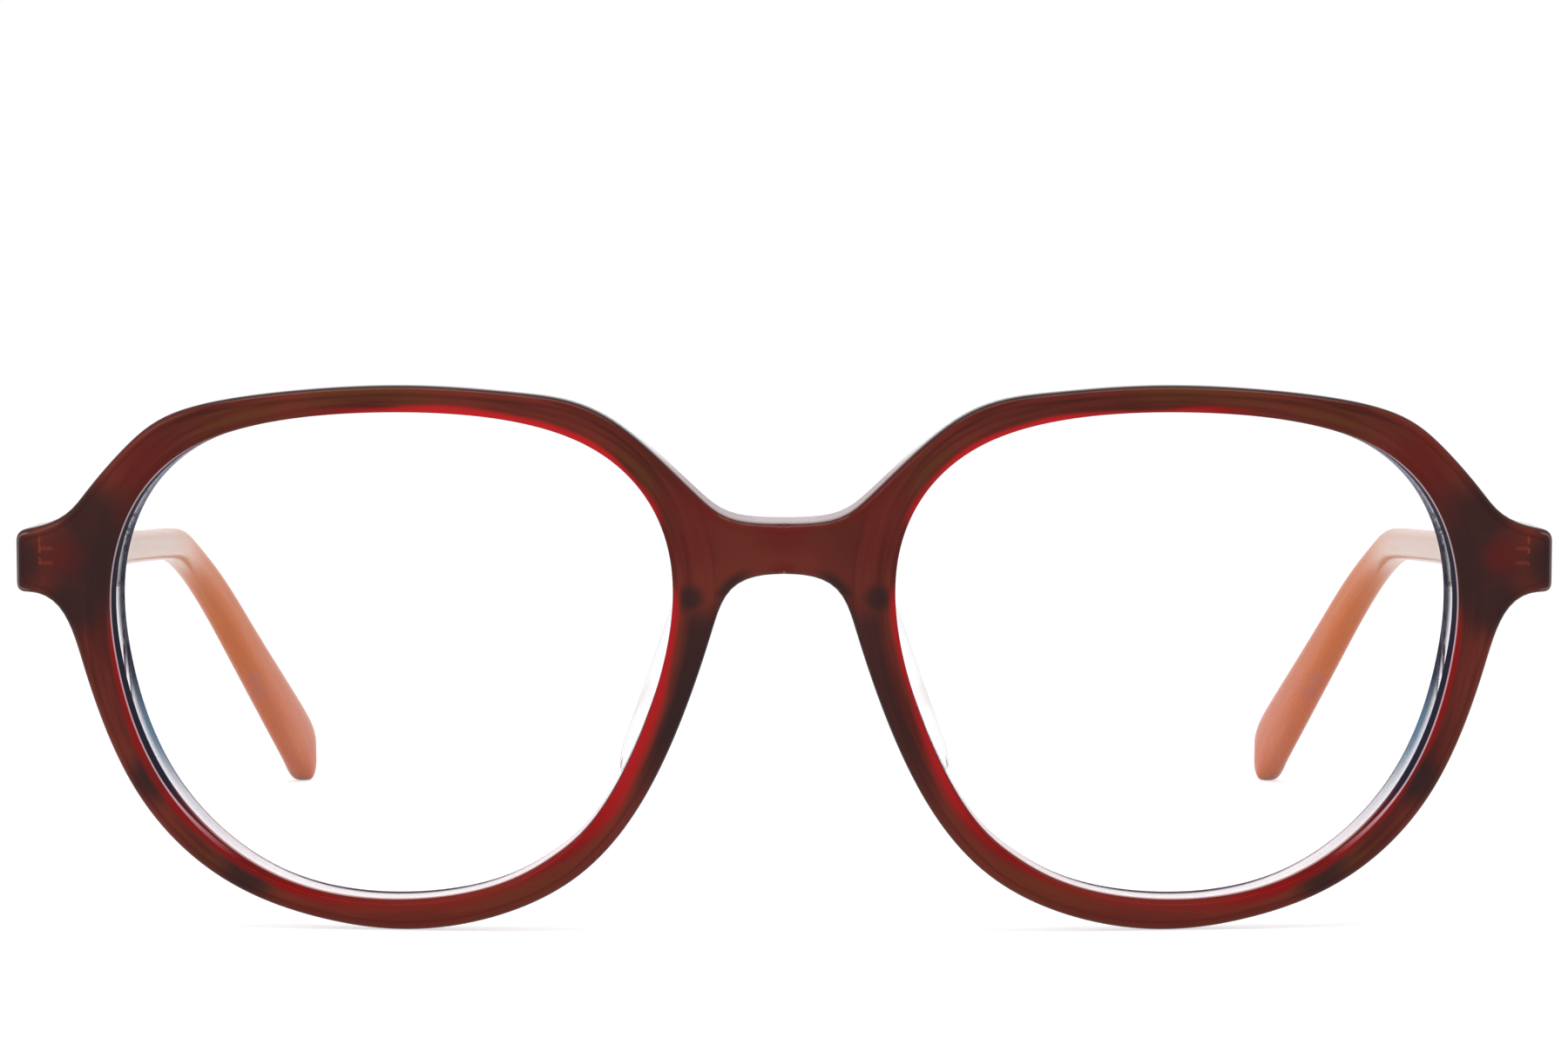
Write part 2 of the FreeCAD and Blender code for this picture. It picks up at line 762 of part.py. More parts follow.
def leaf_plate(body, room, past):
    """The leaf and its anchor rib that sit in the temple, or the seat for them."""
    inner = PIN_BACK
    outer = PIN_BACK + S["plate_thick"]
    draw = Drawing(body, "leaf_profile", "XY_Plane")
    draw.box(inner - past, outer + room, BUTT_Y - past, S["leaf_long"] + room)
    feature(body, "Pad", "leaf", draw.done(), Length=S["leaf_high"] + room * 2, Midplane=True)
    first = (S["leaf_long"] - S["anchor_long"]) * 0.5
    draw = Drawing(body, "anchor_profile", "XY_Plane")
    draw.box(inner + S["plate_thick"] * 0.5, outer + S["anchor_deep"] + room,
             first - room, first + S["anchor_long"] + room)
    feature(body, "Pad", "anchor", draw.done(), Length=S["anchor_high"] + room * 2,
            Midplane=True)


def barrel(body, length, web):
    """A barrel about the pin and the web that joins it to its plate."""
    draw = Drawing(body, "barrel_profile", "XY_Plane")
    draw.circle((ZERO, ZERO), S["knuckle_radius"])
    feature(body, "Pad", "barrel", draw.done(), Length=length, Midplane=True)
    draw = Drawing(body, "web_profile", "XY_Plane")
    draw.box(*web)
    feature(body, "Pad", "web", draw.done(), Length=length, Midplane=True)


def pin_bore(body):
    draw = Drawing(body, "bore_profile", "XY_Plane")
    draw.circle((ZERO, ZERO), S["screw_radius"] + S["screw_play"])
    feature(body, "Pocket", "pin_bore", draw.done(), Length=STACK_HIGH * 2, Midplane=True)


def front_hinge():
    """Three knuckles on a plate, the top one sunk for the screw's head."""
    body = doc.addObject("PartDesign::Body", "front_hinge_right")
    front_plate(body, ZERO, ZERO)
    radius = S["knuckle_radius"]
    barrel(body, STACK_HIGH, (-radius, radius, -PIN_BACK, ZERO))
    draw = Drawing(body, "gap_profile", "XZ_Plane", (0, 0, PIN_BACK))
    wide = S["knuckle_radius"] + S["overrun"]
    half = S["knuckle_high"] * 0.5 + S["knuckle_gap"]
    for place in (PITCH, -PITCH):
        draw.box(-wide, wide, place - half, place + half)
    feature(body, "Pocket", "knuckle_gaps", draw.done(), Length=PIN_BACK + wide)
    pin_bore(body)
    draw = Drawing(body, "head_seat_profile", "XY_Plane", (0, 0, STACK_HIGH))
    draw.circle((ZERO, ZERO), S["head_radius"] + S["screw_play"])
    feature(body, "Pocket", "head_seat", draw.done(), Length=STACK_HIGH * 0.5 + S["head_deep"])
    return body


def temple_hinge():
    """Two knuckles on the leaf, which straddle the front's middle knuckle."""
    body = doc.addObject("PartDesign::Body", "temple_hinge_right")
    leaf_plate(body, ZERO, ZERO)
    radius = S["knuckle_radius"]
    barrel(body, PITCH * 2 + S["knuckle_high"], (ZERO, PIN_BACK, -radius, radius))
    draw = Drawing(body, "gap_profile", "YZ_Plane", (0, 0, PIN_BACK))
    wide = S["knuckle_radius"] + S["overrun"]
    half = S["knuckle_high"] * 0.5 + S["knuckle_gap"]
    draw.box(-wide, wide, -half, half)
    feature(body, "Pocket", "knuckle_gap", draw.done(), Length=PIN_BACK + wide)
    pin_bore(body)
    return body


def hinge_screw():
    body = doc.addObject("PartDesign::Body", "hinge_screw_right")
    draw = Drawing(body, "shaft_profile", "XY_Plane")
    draw.circle((ZERO, ZERO), S["screw_radius"])
    feature(body, "Pad", "shaft", draw.done(), Length=STACK_HIGH, Midplane=True)
    draw = Drawing(body, "head_profile", "XY_Plane", (0, 0, STACK_HIGH * 0.5 - S["head_deep"]))
    draw.circle((ZERO, ZERO), S["head_radius"])
    feature(body, "Pad", "head", draw.done(), Length=S["head_deep"])
    draw = Drawing(body, "slot_profile", "XY_Plane", (0, 0, STACK_HIGH * 0.5))
    draw.box(-S["head_radius"] * 2, S["head_radius"] * 2, -S["slot_wide"] * 0.5,
             S["slot_wide"] * 0.5)
    feature(body, "Pocket", "slot", draw.done(), Length=S["head_deep"] * 0.6)
    return body


hinge_front = front_hinge()
hinge_temple = temple_hinge()
screw = hinge_screw()
front_seat = doc.addObject("PartDesign::Body", "front_hinge_seat")
front_plate(front_seat, S["seat_gap"], S["overrun"])
leaf_seat = doc.addObject("PartDesign::Body", "temple_hinge_seat")
leaf_plate(leaf_seat, S["seat_gap"], S["overrun"])


# The lens, in its own frame on the lens axis, with a bevel that sits in the groove

def lens_right():
    body = doc.addObject("PartDesign::Body", "lens_right")
    reach = S["groove_deep"] - S["lens_play"]
    wide = S["groove_wide"] * 1.5
    inner = reach - S["groove_deep"] * 3
    sections = [(-wide, inner), (ZERO, reach), (wide, inner)]
    ruled_loft(body, "AdditiveLoft", "lens_blank", [
        lens_outline(body, "lens_section", GROOVE_BACK + along, out, False)
        for along, out in sections])
    apex = GROOVE_BACK - S["lens_thick"] * 0.5 - HALF_WIDE * HALF_HIGH / (S["lens_radius"] * 2)
    middle = apex + S["lens_radius"]
    dome_cut(body, "front_curve", middle, S["lens_radius"], CUT_AHEAD)
    dome_cut(body, "rear_curve", middle, S["lens_radius"] - S["lens_thick"], CUT_BEHIND)
    return body


lens = lens_right()


# The nose pad: a rounded slab, half sunk in the rear of the rim and cut to it


def upright_corner(edge):
    """The four edges across the slab's thickness."""
    points = samples(edge)
    return abs(points[0].x - points[2].x) > abs(points[0].y - points[2].y) + abs(
        points[0].z - points[2].z)


def on_open_face(edge):
    """The loop of edges round the slab's face that rests on the nose."""
    return samples(edge)[1].x < -(S["pad_thick"] * 0.4).value


def pad_blank():
    body = doc.addObject("PartDesign::Body", "nose_pad_blank")
    draw = Drawing(body, "pad_outline", "YZ_Plane")
    half_wide = S["pad_wide"] * 0.5
    half_long = S["pad_long"] * 0.5
    draw.box(-half_wide, half_wide, -half_long, half_long)
    feature(body, "Pad", "slab", draw.done(), Length=S["pad_thick"], Midplane=True)
    fillet(body, "pad_corners", upright_corner, S["pad_round"])
    bevel(body, "pad_edges", on_open_face, S["pad_bevel"])
    return body


pad = pad_blank()


# Assembly: each piece of the right half goes to its place, with the places held in the
# sheet, and what sits in a seat is cut from its neighbour

refresh(temple, hinge_front, hinge_temple, screw, front_seat, leaf_seat, lens, pad)
temple_reach = true_box(temple.Shape).YMax + PIN_Y.value
face_reach = true_box(placed(face.Tip.Shape, TILTED)).YMin
SHIFT = work_out("middle_shift", -(temple_reach + face_reach) / 2)
PAD_BACK = S["rim_deep"] + S["pad_wide"] * 0.5 - S["pad_sink"]
LENS_BACK = R - R * cosine(WRAP)


def stand(item, shift=(ZERO, ZERO, ZERO), turn=Rotation()):
    """Put a piece in the front, which leans back from its rims on the ground."""
    lean = S["front_tilt"]
    across, depth, up = shift
    places = {
        "x": across,
        "y": SHIFT + depth * cosine(lean) - up * sine(lean),
        "z": STAND_LIFT + depth * sine(lean) + up * cosine(lean),
    }
    item.Placement = Placement(Vector(0, 0, 0), TILTED.Rotation.multiply(turn))
    for axis, place in places.items():
        item.setExpression(".Placement.Base." + axis, place.text)
    return item


def hang(item):
    """Move a piece drawn about the hinge pin to the pin of the right half."""
    places = {"x": PIN_X, "y": PIN_Y + SHIFT, "z": PIN_Z}
    for axis, place in places.items():
        item.setExpression(".Placement.Base." + axis, place.text)
    return item


def cut(name, base, tool):
    item = doc.addObject("Part::Cut", name)
    item.Base = base
    item.Tool = tool
    return item


def mirrored(item):
    """The left piece of a pair, named after the right one."""
    other = doc.addObject("Part::Mirroring", item.Label.replace("right", "left"))
    other.Source = item
    other.Normal = Vector(1, 0, 0)
    return other


stand(face)
stand(back)
stand(lens, (R * sine(WRAP), LENS_BACK, ZERO), Rotation(Vector(0, 0, 1), WRAP.value))
stand(pad, (S["pad_side"], PAD_BACK, -S["pad_drop"]),
      Rotation(-S["pad_splay"].value, 0, 0).multiply(
          Rotation(Vector(0, 1, 0), -S["pad_slant"].value)))
for item in (hinge_front, hinge_temple, screw, front_seat, leaf_seat, temple, core_wire,
             core_bore):
    hang(item)

nose_pad = cut("nose_pad_right", pad, back)
temple_slotted = cut("temple_slotted", temple, leaf_seat)
temple_right = cut("temple_right", temple_slotted, core_bore)
back_seated = cut("front_back_seated", back, front_seat)
back_layer = cut("front_back_layer", back_seated, mirrored(front_seat))

pairs = [lens, nose_pad, hinge_front, hinge_temple, screw, temple_right, core_wire]
pieces = [face, back_layer] + pairs + [mirrored(item) for item in pairs]


# Check every piece and write it out

refresh(*pieces)
faults = [o.Name for o in doc.Objects if {"Invalid", "Error"} & set(o.State)]
if faults:
    raise RuntimeError("not recomputed: " + ", ".join(faults))
for item in pieces:
    shape = item.Shape
    if shape.isNull() or not shape.isValid() or len(shape.Solids) != 1:
        raise RuntimeError("%s isn't one valid solid" % item.Label)
for item in pieces:
    item.Shape.exportStep("parts/%s.step" % item.Label)
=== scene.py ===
import json
import math

import bpy
import numpy as np
from mathutils import Matrix, Vector


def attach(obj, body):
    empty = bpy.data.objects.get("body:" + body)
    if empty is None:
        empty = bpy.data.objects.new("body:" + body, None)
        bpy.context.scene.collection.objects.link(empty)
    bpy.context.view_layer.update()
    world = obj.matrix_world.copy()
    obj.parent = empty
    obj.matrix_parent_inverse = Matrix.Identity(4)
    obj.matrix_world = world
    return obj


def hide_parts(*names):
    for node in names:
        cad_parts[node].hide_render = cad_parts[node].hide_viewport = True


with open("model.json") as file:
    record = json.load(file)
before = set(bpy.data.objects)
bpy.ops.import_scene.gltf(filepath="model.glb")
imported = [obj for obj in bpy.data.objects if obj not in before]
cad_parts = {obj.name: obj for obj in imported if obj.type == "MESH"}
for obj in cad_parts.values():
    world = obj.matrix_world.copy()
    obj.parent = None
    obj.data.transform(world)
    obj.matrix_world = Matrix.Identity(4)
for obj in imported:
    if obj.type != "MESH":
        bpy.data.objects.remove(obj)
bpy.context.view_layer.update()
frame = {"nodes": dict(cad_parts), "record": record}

# The face layer of the front: patterned brown-red cellulose acetate, the outer sheet of
# the laminate. It is cut to outline, bent over a ball and polished until every edge is
# soft, and it is bonded to the clear sheet behind it.

MM = 0.001
FACE_RADIUS = 340.6
LENS_WIDE = 51.7
LENS_HIGH = 45.6
LENS_GAP = 20.7
LENS_ACROSS = (LENS_WIDE + LENS_GAP) / 2
LENS_EDGE = LENS_ACROSS + LENS_WIDE / 2
RIM_SIDE = 3.1
RIM_EDGE = 2.6
END_REACH = 10.05
END_HIGH = 5.9
END_RISE = 8.35
BRIDGE_HIGH = 4.6
BRIDGE_RISE = 10.6
FACE_LAYER = 1.8
BOND = FACE_RADIUS - FACE_LAYER
WRAP = math.atan(LENS_ACROSS / FACE_RADIUS)
FRONT_TILT = math.radians(6.5)
PIN_BEHIND_FRONT = 13.034
PIN_OVER_MIDDLE = 9.407
pin = Vector(next(joint for joint in frame["record"]["behaviour"]["joints"]
                  if joint["name"] == "temple_right_fold")["pos_m"]) / MM
FRONT_BACK = pin.y - PIN_BEHIND_FRONT
FRONT_LIFT = pin.z - PIN_OVER_MIDDLE
CORNER_CUT = 1.0
FACE_ROUNDING = 0.75
MOUTH_ROUNDING = 0.3
COLUMN_STEP = 0.85


def rim(across, up):
    """Round the lens middle, in half sizes of the rim."""
    return LENS_ACROSS + (LENS_WIDE / 2 + RIM_SIDE) * across, (LENS_HIGH / 2 + RIM_EDGE) * up


def end(across, up):
    """On the end piece, from the lens edge out and about its own middle height."""
    return LENS_EDGE + END_REACH * across, END_RISE + END_HIGH / 2 * up


def bridge(across, up):
    """On the bridge, from the middle out and about its own middle height."""
    return LENS_GAP / 2 * across, BRIDGE_RISE + BRIDGE_HIGH / 2 * up


LOWER_SHARES = [
    end(1.0, -1.0), end(0.55, -0.76), rim(1.025, -0.045), rim(0.87, -0.545),
    rim(0.58, -0.865), rim(0.225, -0.995), rim(-0.15, -1.03), rim(-0.62, -0.845),
    rim(-0.88, -0.395), bridge(0.585, -2.8), bridge(0.49, -1.0), bridge(0, -1.0),
]
UPPER_SHARES = [
    end(1.0, 1.0), end(0.54, 1.24), rim(1.015, 0.58), rim(0.855, 0.785),
    rim(0.71, 0.915), rim(0.34, 0.98), rim(-0.075, 1.01), rim(-0.42, 0.975),
    rim(-0.695, 0.945), bridge(0.63, 1.43), bridge(0.455, 1.0), bridge(0, 1.0),
]
LENS_SHARES = [
    (1.00, -0.05), (1.02, 0.44), (0.765, 0.915), (0.015, 1.03), (-0.74, 0.965),
    (-1.05, 0.505), (-0.98, -0.08), (-0.76, -0.63), (-0.58, -0.815),
    (-0.295, -1.00), (0.37, -1.03), (0.84, -0.605),
]


def drawn_curve(poles, closed):
    """Points along the smooth curve that a row of poles pulls, as a draughtsman's spline."""
    data = bpy.data.curves.new("outline", "CURVE")
    data.resolution_u = 24
    strand = data.splines.new("NURBS")
    strand.points.add(len(poles) - 1)
    for point, (across, up) in zip(strand.points, poles):
        point.co = (across, up, 0, 1)
    strand.order_u = 4
    strand.use_cyclic_u = closed
    strand.use_endpoint_u = not closed
    holder = bpy.data.objects.new("outline", data)
    mesh = bpy.data.meshes.new_from_object(holder)
    line = np.array([vertex.co[:2] for vertex in mesh.vertices])
    bpy.data.meshes.remove(mesh)
    bpy.data.objects.remove(holder)
    bpy.data.curves.remove(data)
    return line


def spaced(line, count):
    """The same line with a number of even steps."""
    along = np.concatenate([[0], np.cumsum(np.hypot(*np.diff(line, axis=0).T))])
    steps = np.linspace(0, along[-1], count + 1)
    return np.stack([np.interp(steps, along, part) for part in line.T], axis=1)


def steps_on(line):
    return max(4, int(np.hypot(*np.diff(line, axis=0).T).sum() / COLUMN_STEP))


def trimmed(line, cut):
    """A line without its first stretch."""
    fine = spaced(line, 800)
    along = np.concatenate([[0], np.cumsum(np.hypot(*np.diff(fine, axis=0).T))])
    return fine[along >= cut]


def turned_corner(before, corner, after):
    """A soft turn between two points round a corner."""
    share = np.linspace(0, 1, 7)[:, None]
    return before * (1 - share) ** 2 + corner * 2 * share * (1 - share) + after * share ** 2


lower_line = trimmed(drawn_curve(LOWER_SHARES, False), CORNER_CUT)
upper_line = trimmed(drawn_curve(UPPER_SHARES, False), CORNER_CUT)
low_corner = np.array(end(1.0, -1.0))
high_corner = np.array(end(1.0, 1.0))
end_low = low_corner + np.array([0, CORNER_CUT])
end_high = high_corner - np.array([0, CORNER_CUT])
real_edge = np.concatenate([
    lower_line[::-1], turned_corner(lower_line[0], low_corner, end_low),
    turned_corner(end_high, high_corner, upper_line[0]), upper_line])
middle_line = np.array([upper_line[-1], lower_line[-1]])
outer_parts = [
    (lower_line[::-1], steps_on(lower_line)),
    (turned_corner(lower_line[0], low_corner, end_low), 6),
    (np.array([end_low, end_high]), 5),
    (turned_corner(end_high, high_corner, upper_line[0]), 6),
    (upper_line, steps_on(upper_line)),
    (middle_line, 14),
]
outer_loop = np.concatenate([spaced(line, count)[:-1] for line, count in outer_parts])


def lens_loop(spread):
    """The lens outline, grown by a spread and seen on the flat sheet from the ball's
    centre, with its turn angle about the lens middle."""
    shape = np.array(LENS_SHARES) * [LENS_WIDE / 2 + spread, LENS_HIGH / 2 + spread]
    across, up = drawn_curve(shape.tolist(), True).T
    reach = FACE_RADIUS / (FACE_RADIUS * math.cos(WRAP) - across * math.sin(WRAP))
    flat = np.stack([reach * (FACE_RADIUS * math.sin(WRAP) + across * math.cos(WRAP)),
                     reach * up], axis=1)
    turn = np.arctan2(flat[:, 1], flat[:, 0] - LENS_ACROSS)
    order = np.argsort(turn)
    return flat[order], turn[order]


def mouth_points(turns, spread=0.0):
    flat, turn = lens_loop(spread)
    return np.stack([np.interp(turns, turn, part, period=2 * math.pi) for part in flat.T],
                    axis=1)


def eased(value, low, high):
    """A soft step from 0 at low to 1 at high."""
    share = np.clip((value - low) / (high - low), 0, 1)
    return share * share * (3 - 2 * share)


def turn_at(height, nose_side):
    """The lens turn at which the nose side or the temple side of the mouth has a height."""
    flat, turn = lens_loop(0.0)
    side = (flat[:, 0] < LENS_ACROSS) == nose_side
    height_on, turn = flat[side, 1], turn[side]
    if nose_side:
        turn = turn % (2 * math.pi)
    order = np.argsort(height_on)
    return np.interp(height, height_on[order], turn[order])


def paired_turns(loop):
    """For each point of the outer loop, the lens turn that it is joined to: straight out
    from the lens middle, but at like heights in the bridge and in the end piece."""
    turn = np.unwrap(np.arctan2(loop[:, 1], loop[:, 0] - LENS_ACROSS))
    level_share = 0.8
    level_pulls = [
        (BRIDGE_RISE, True, 1 - eased(loop[:, 0], 4, 9)),
        (END_RISE, False, eased(loop[:, 0], LENS_EDGE + 2, LENS_EDGE + 6)),
    ]
    for rise, nose_side, pull in level_pulls:
        wanted = turn_at(rise + (loop[:, 1] - rise) * level_share, nose_side)
        wanted = wanted + 2 * math.pi * np.round((turn - wanted) / (2 * math.pi))
        turn = turn + (wanted - turn) * pull
    even = np.linspace(turn[0], turn[0] + 2 * math.pi, len(turn), endpoint=False)
    window = 9
    padded = np.concatenate([(turn - even)[-window:], turn - even, (turn - even)[:window]])
    soft = np.convolve(padded, np.ones(window) / window, "same")[window:-window]
    return even + soft


turns = paired_turns(outer_loop)
mouth = mouth_points(turns)


def distance_to(points, line):
    """The distance from each point to a polyline."""
    best = np.full(points.shape[:-1], 1e9)
    for start, stop in zip(line[:-1], line[1:]):
        way = stop - start
        share = np.clip(((points - start) @ way) / max(way @ way, 1e-12), 0, 1)
        gap = points - start - share[..., None] * way
        best = np.minimum(best, np.hypot(gap[..., 0], gap[..., 1]))
    return best


def fallen(distance, rounding):
    """How far a rounded edge has dropped at a distance from its side wall."""
    near = np.clip(rounding - distance, 0, rounding)
    return rounding - np.sqrt(np.maximum(rounding ** 2 - near ** 2, 0))


EDGE_SHARES = [0.0, 0.04, 0.15, 0.35, 0.65, 1.0]


def rows_across(inner_rounding, outer_rounding, between):
    """Flat points from the mouth to the outer edge, close together near both edges."""
    length = np.hypot(*(outer_loop - mouth).T)[:, None]
    inner = np.array(EDGE_SHARES) * inner_rounding
    outer = np.array(EDGE_SHARES) * outer_rounding
    share = np.linspace(0, 1, between + 2)[1:-1]
    middle = inner[-1] + (length - inner[-1] - outer[-1]) * share
    steps = np.concatenate([np.tile(inner, (len(length), 1)), middle,
                            length - outer[::-1]], axis=1) / length
    return mouth[:, None] + (outer_loop - mouth)[:, None] * steps[..., None]


def lifted(flat, draw):
    """Places in millimetres of flat points drawn in towards the ball's centre."""
    across = flat[..., 0] * draw
    depth = FACE_RADIUS * (1 - draw)
    up = flat[..., 1] * draw
    lean = (math.cos(FRONT_TILT), math.sin(FRONT_TILT))
    return np.stack([across, FRONT_BACK + depth * lean[0] - up * lean[1],
                     FRONT_LIFT + depth * lean[1] + up * lean[0]], axis=-1)


def ball_draw(flat, radius):
    reach = np.sqrt(flat[..., 0] ** 2 + flat[..., 1] ** 2 + FACE_RADIUS ** 2)
    return radius / reach


def clear_selection():
    bpy.ops.object.select_all(action="DESELECT")


def only(piece):
    clear_selection()
    piece.select_set(True)
    bpy.context.view_layer.objects.active = piece
    return piece


def shaped_sheet(name, places, closed_along=True, closed_round=True, **marks):
    """A grid laid round a piece: one column for each step along it and one row for each
    step round its section, welded where it meets itself."""
    columns, rows = places.shape[:2]
    along = columns if closed_along else columns - 1
    around = rows if closed_round else rows - 1
    clear_selection()
    bpy.ops.mesh.primitive_grid_add(x_subdivisions=along, y_subdivisions=around, size=1)
    piece = bpy.context.object
    piece.name = name
    mesh = piece.data
    mesh.name = name
    start = np.array([vertex.co[:2] for vertex in mesh.vertices])
    column = np.rint((start[:, 0] + 0.5) * along).astype(int) % columns
    row = np.rint((start[:, 1] + 0.5) * around).astype(int) % rows
    mesh.vertices.foreach_set("co", (places[column, row] * MM).ravel())
    for mark, values in marks.items():
        kept = mesh.attributes.new(mark, "FLOAT", "POINT")
        kept.data.foreach_set("value", np.ascontiguousarray(values[column, row], dtype=float))
    weld(piece)
    return piece


# In metres: points this near are one point, and this near the middle plane they lie in it
MERGE_REACH = 1e-6
MIDDLE_REACH = 1e-7


def weld(piece, reach=MERGE_REACH):
    only(piece)
    bpy.ops.object.mode_set(mode="EDIT")
    bpy.ops.mesh.select_all(action="SELECT")
    bpy.ops.mesh.remove_doubles(threshold=reach)
    bpy.ops.mesh.normals_make_consistent(inside=False)
    bpy.ops.object.mode_set(mode="OBJECT")


def mirrored_front(piece):
    """Open the half at the middle of the bridge and join its mirror image to it."""
    only(piece)
    bpy.ops.object.mode_set(mode="EDIT")
    bpy.ops.mesh.select_mode(type="FACE")
    bpy.ops.mesh.select_all(action="DESELECT")
    bpy.ops.object.mode_set(mode="OBJECT")
    for face in piece.data.polygons:
        corners = [piece.data.vertices[i] for i in face.vertices]
        face.select = all(abs(corner.co.x) < MIDDLE_REACH for corner in corners)
    bpy.ops.object.mode_set(mode="EDIT")
    bpy.ops.mesh.delete(type="FACE")
    bpy.ops.object.mode_set(mode="OBJECT")
    other = piece.modifiers.new("other_half", "MIRROR")
    other.merge_threshold = MERGE_REACH
    bpy.ops.object.modifier_apply(modifier="other_half")
    weld(piece)
    return piece


def smooth(piece, angle=38):
    only(piece)
    bpy.ops.object.shade_smooth_by_angle(angle=math.radians(angle))


def face_layer_places():
    """Section rows of the face layer: mouth wall, face, outer wall and bonded side."""
    flat = rows_across(MOUTH_ROUNDING, FACE_ROUNDING, 7)
    drop = (fallen(distance_to(flat, real_edge), FACE_ROUNDING)
            + fallen(distance_to(flat, closed(mouth)), MOUTH_ROUNDING))
    face = ball_draw(flat, FACE_RADIUS - drop)
    bond = ball_draw(flat, BOND)
    walls = []
    for edge in (0, -1):
        foot = np.linspace(bond[:, edge], face[:, edge], 4)[:-1].T
        walls.append((np.repeat(flat[:, [edge]], 3, axis=1), foot))
    sheets = [walls[0], (flat, face), (walls[1][0], walls[1][1][:, ::-1]),
              (flat[:, -1:0:-2], bond[:, -1:0:-2])]
    return stacked(sheets)


def closed(line):
    return np.concatenate([line, line[:1]])


def stacked(sheets):
    """Join the sheets of a section into places and their marks for the paint."""
    flat = np.concatenate([sheet[0] for sheet in sheets], axis=1)
    draw = np.concatenate([sheet[1] for sheet in sheets], axis=1)
    depth = FACE_RADIUS - draw * FACE_RADIUS / ball_draw(flat, FACE_RADIUS)
    return lifted(flat, draw), {
        "from_lens": distance_to(flat, closed(mouth)),
        "from_edge": distance_to(flat, real_edge),
        "deep": depth,
    }


places, marks = face_layer_places()
face_layer = mirrored_front(shaped_sheet("face_layer", places, **marks))
smooth(face_layer)
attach(face_layer, "front")
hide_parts("front_face_layer")


def linear(red, green, blue):
    """A colour as seen on a screen, turned into the amount of light it stands for."""
    shares = [part / 255 for part in (red, green, blue)]
    return tuple(part / 12.92 if part <= 0.04045 else ((part + 0.055) / 1.055) ** 2.4
                 for part in shares) + (1.0,)


class Wire:
    """A value in a material that takes part in sums as a number does."""

    def __init__(self, paint, socket):
        self.paint = paint
        self.socket = socket

    def joined(self, operation, *values, clamp=False):
        settings = {"operation": operation, "use_clamp": clamp}
        inputs = dict(enumerate(values))
        return self.paint.add("ShaderNodeMath", settings, inputs)["Value"]

    def __add__(self, other):
        return self.joined("ADD", self, other)

    def __radd__(self, other):
        return self.joined("ADD", other, self)

    def __sub__(self, other):
        return self.joined("SUBTRACT", self, other)

    def __rsub__(self, other):
        return self.joined("SUBTRACT", other, self)

    def __mul__(self, other):
        return self.joined("MULTIPLY", self, other)

    def __rmul__(self, other):
        return self.joined("MULTIPLY", other, self)

    def __pow__(self, power):
        return self.joined("POWER", self, power)

    def limited(self):
        return self.joined("ADD", self, 0, clamp=True)

    def most(self, other):
        return self.joined("MAXIMUM", self, other)

    def least(self, other):
        return self.joined("MINIMUM", self, other)


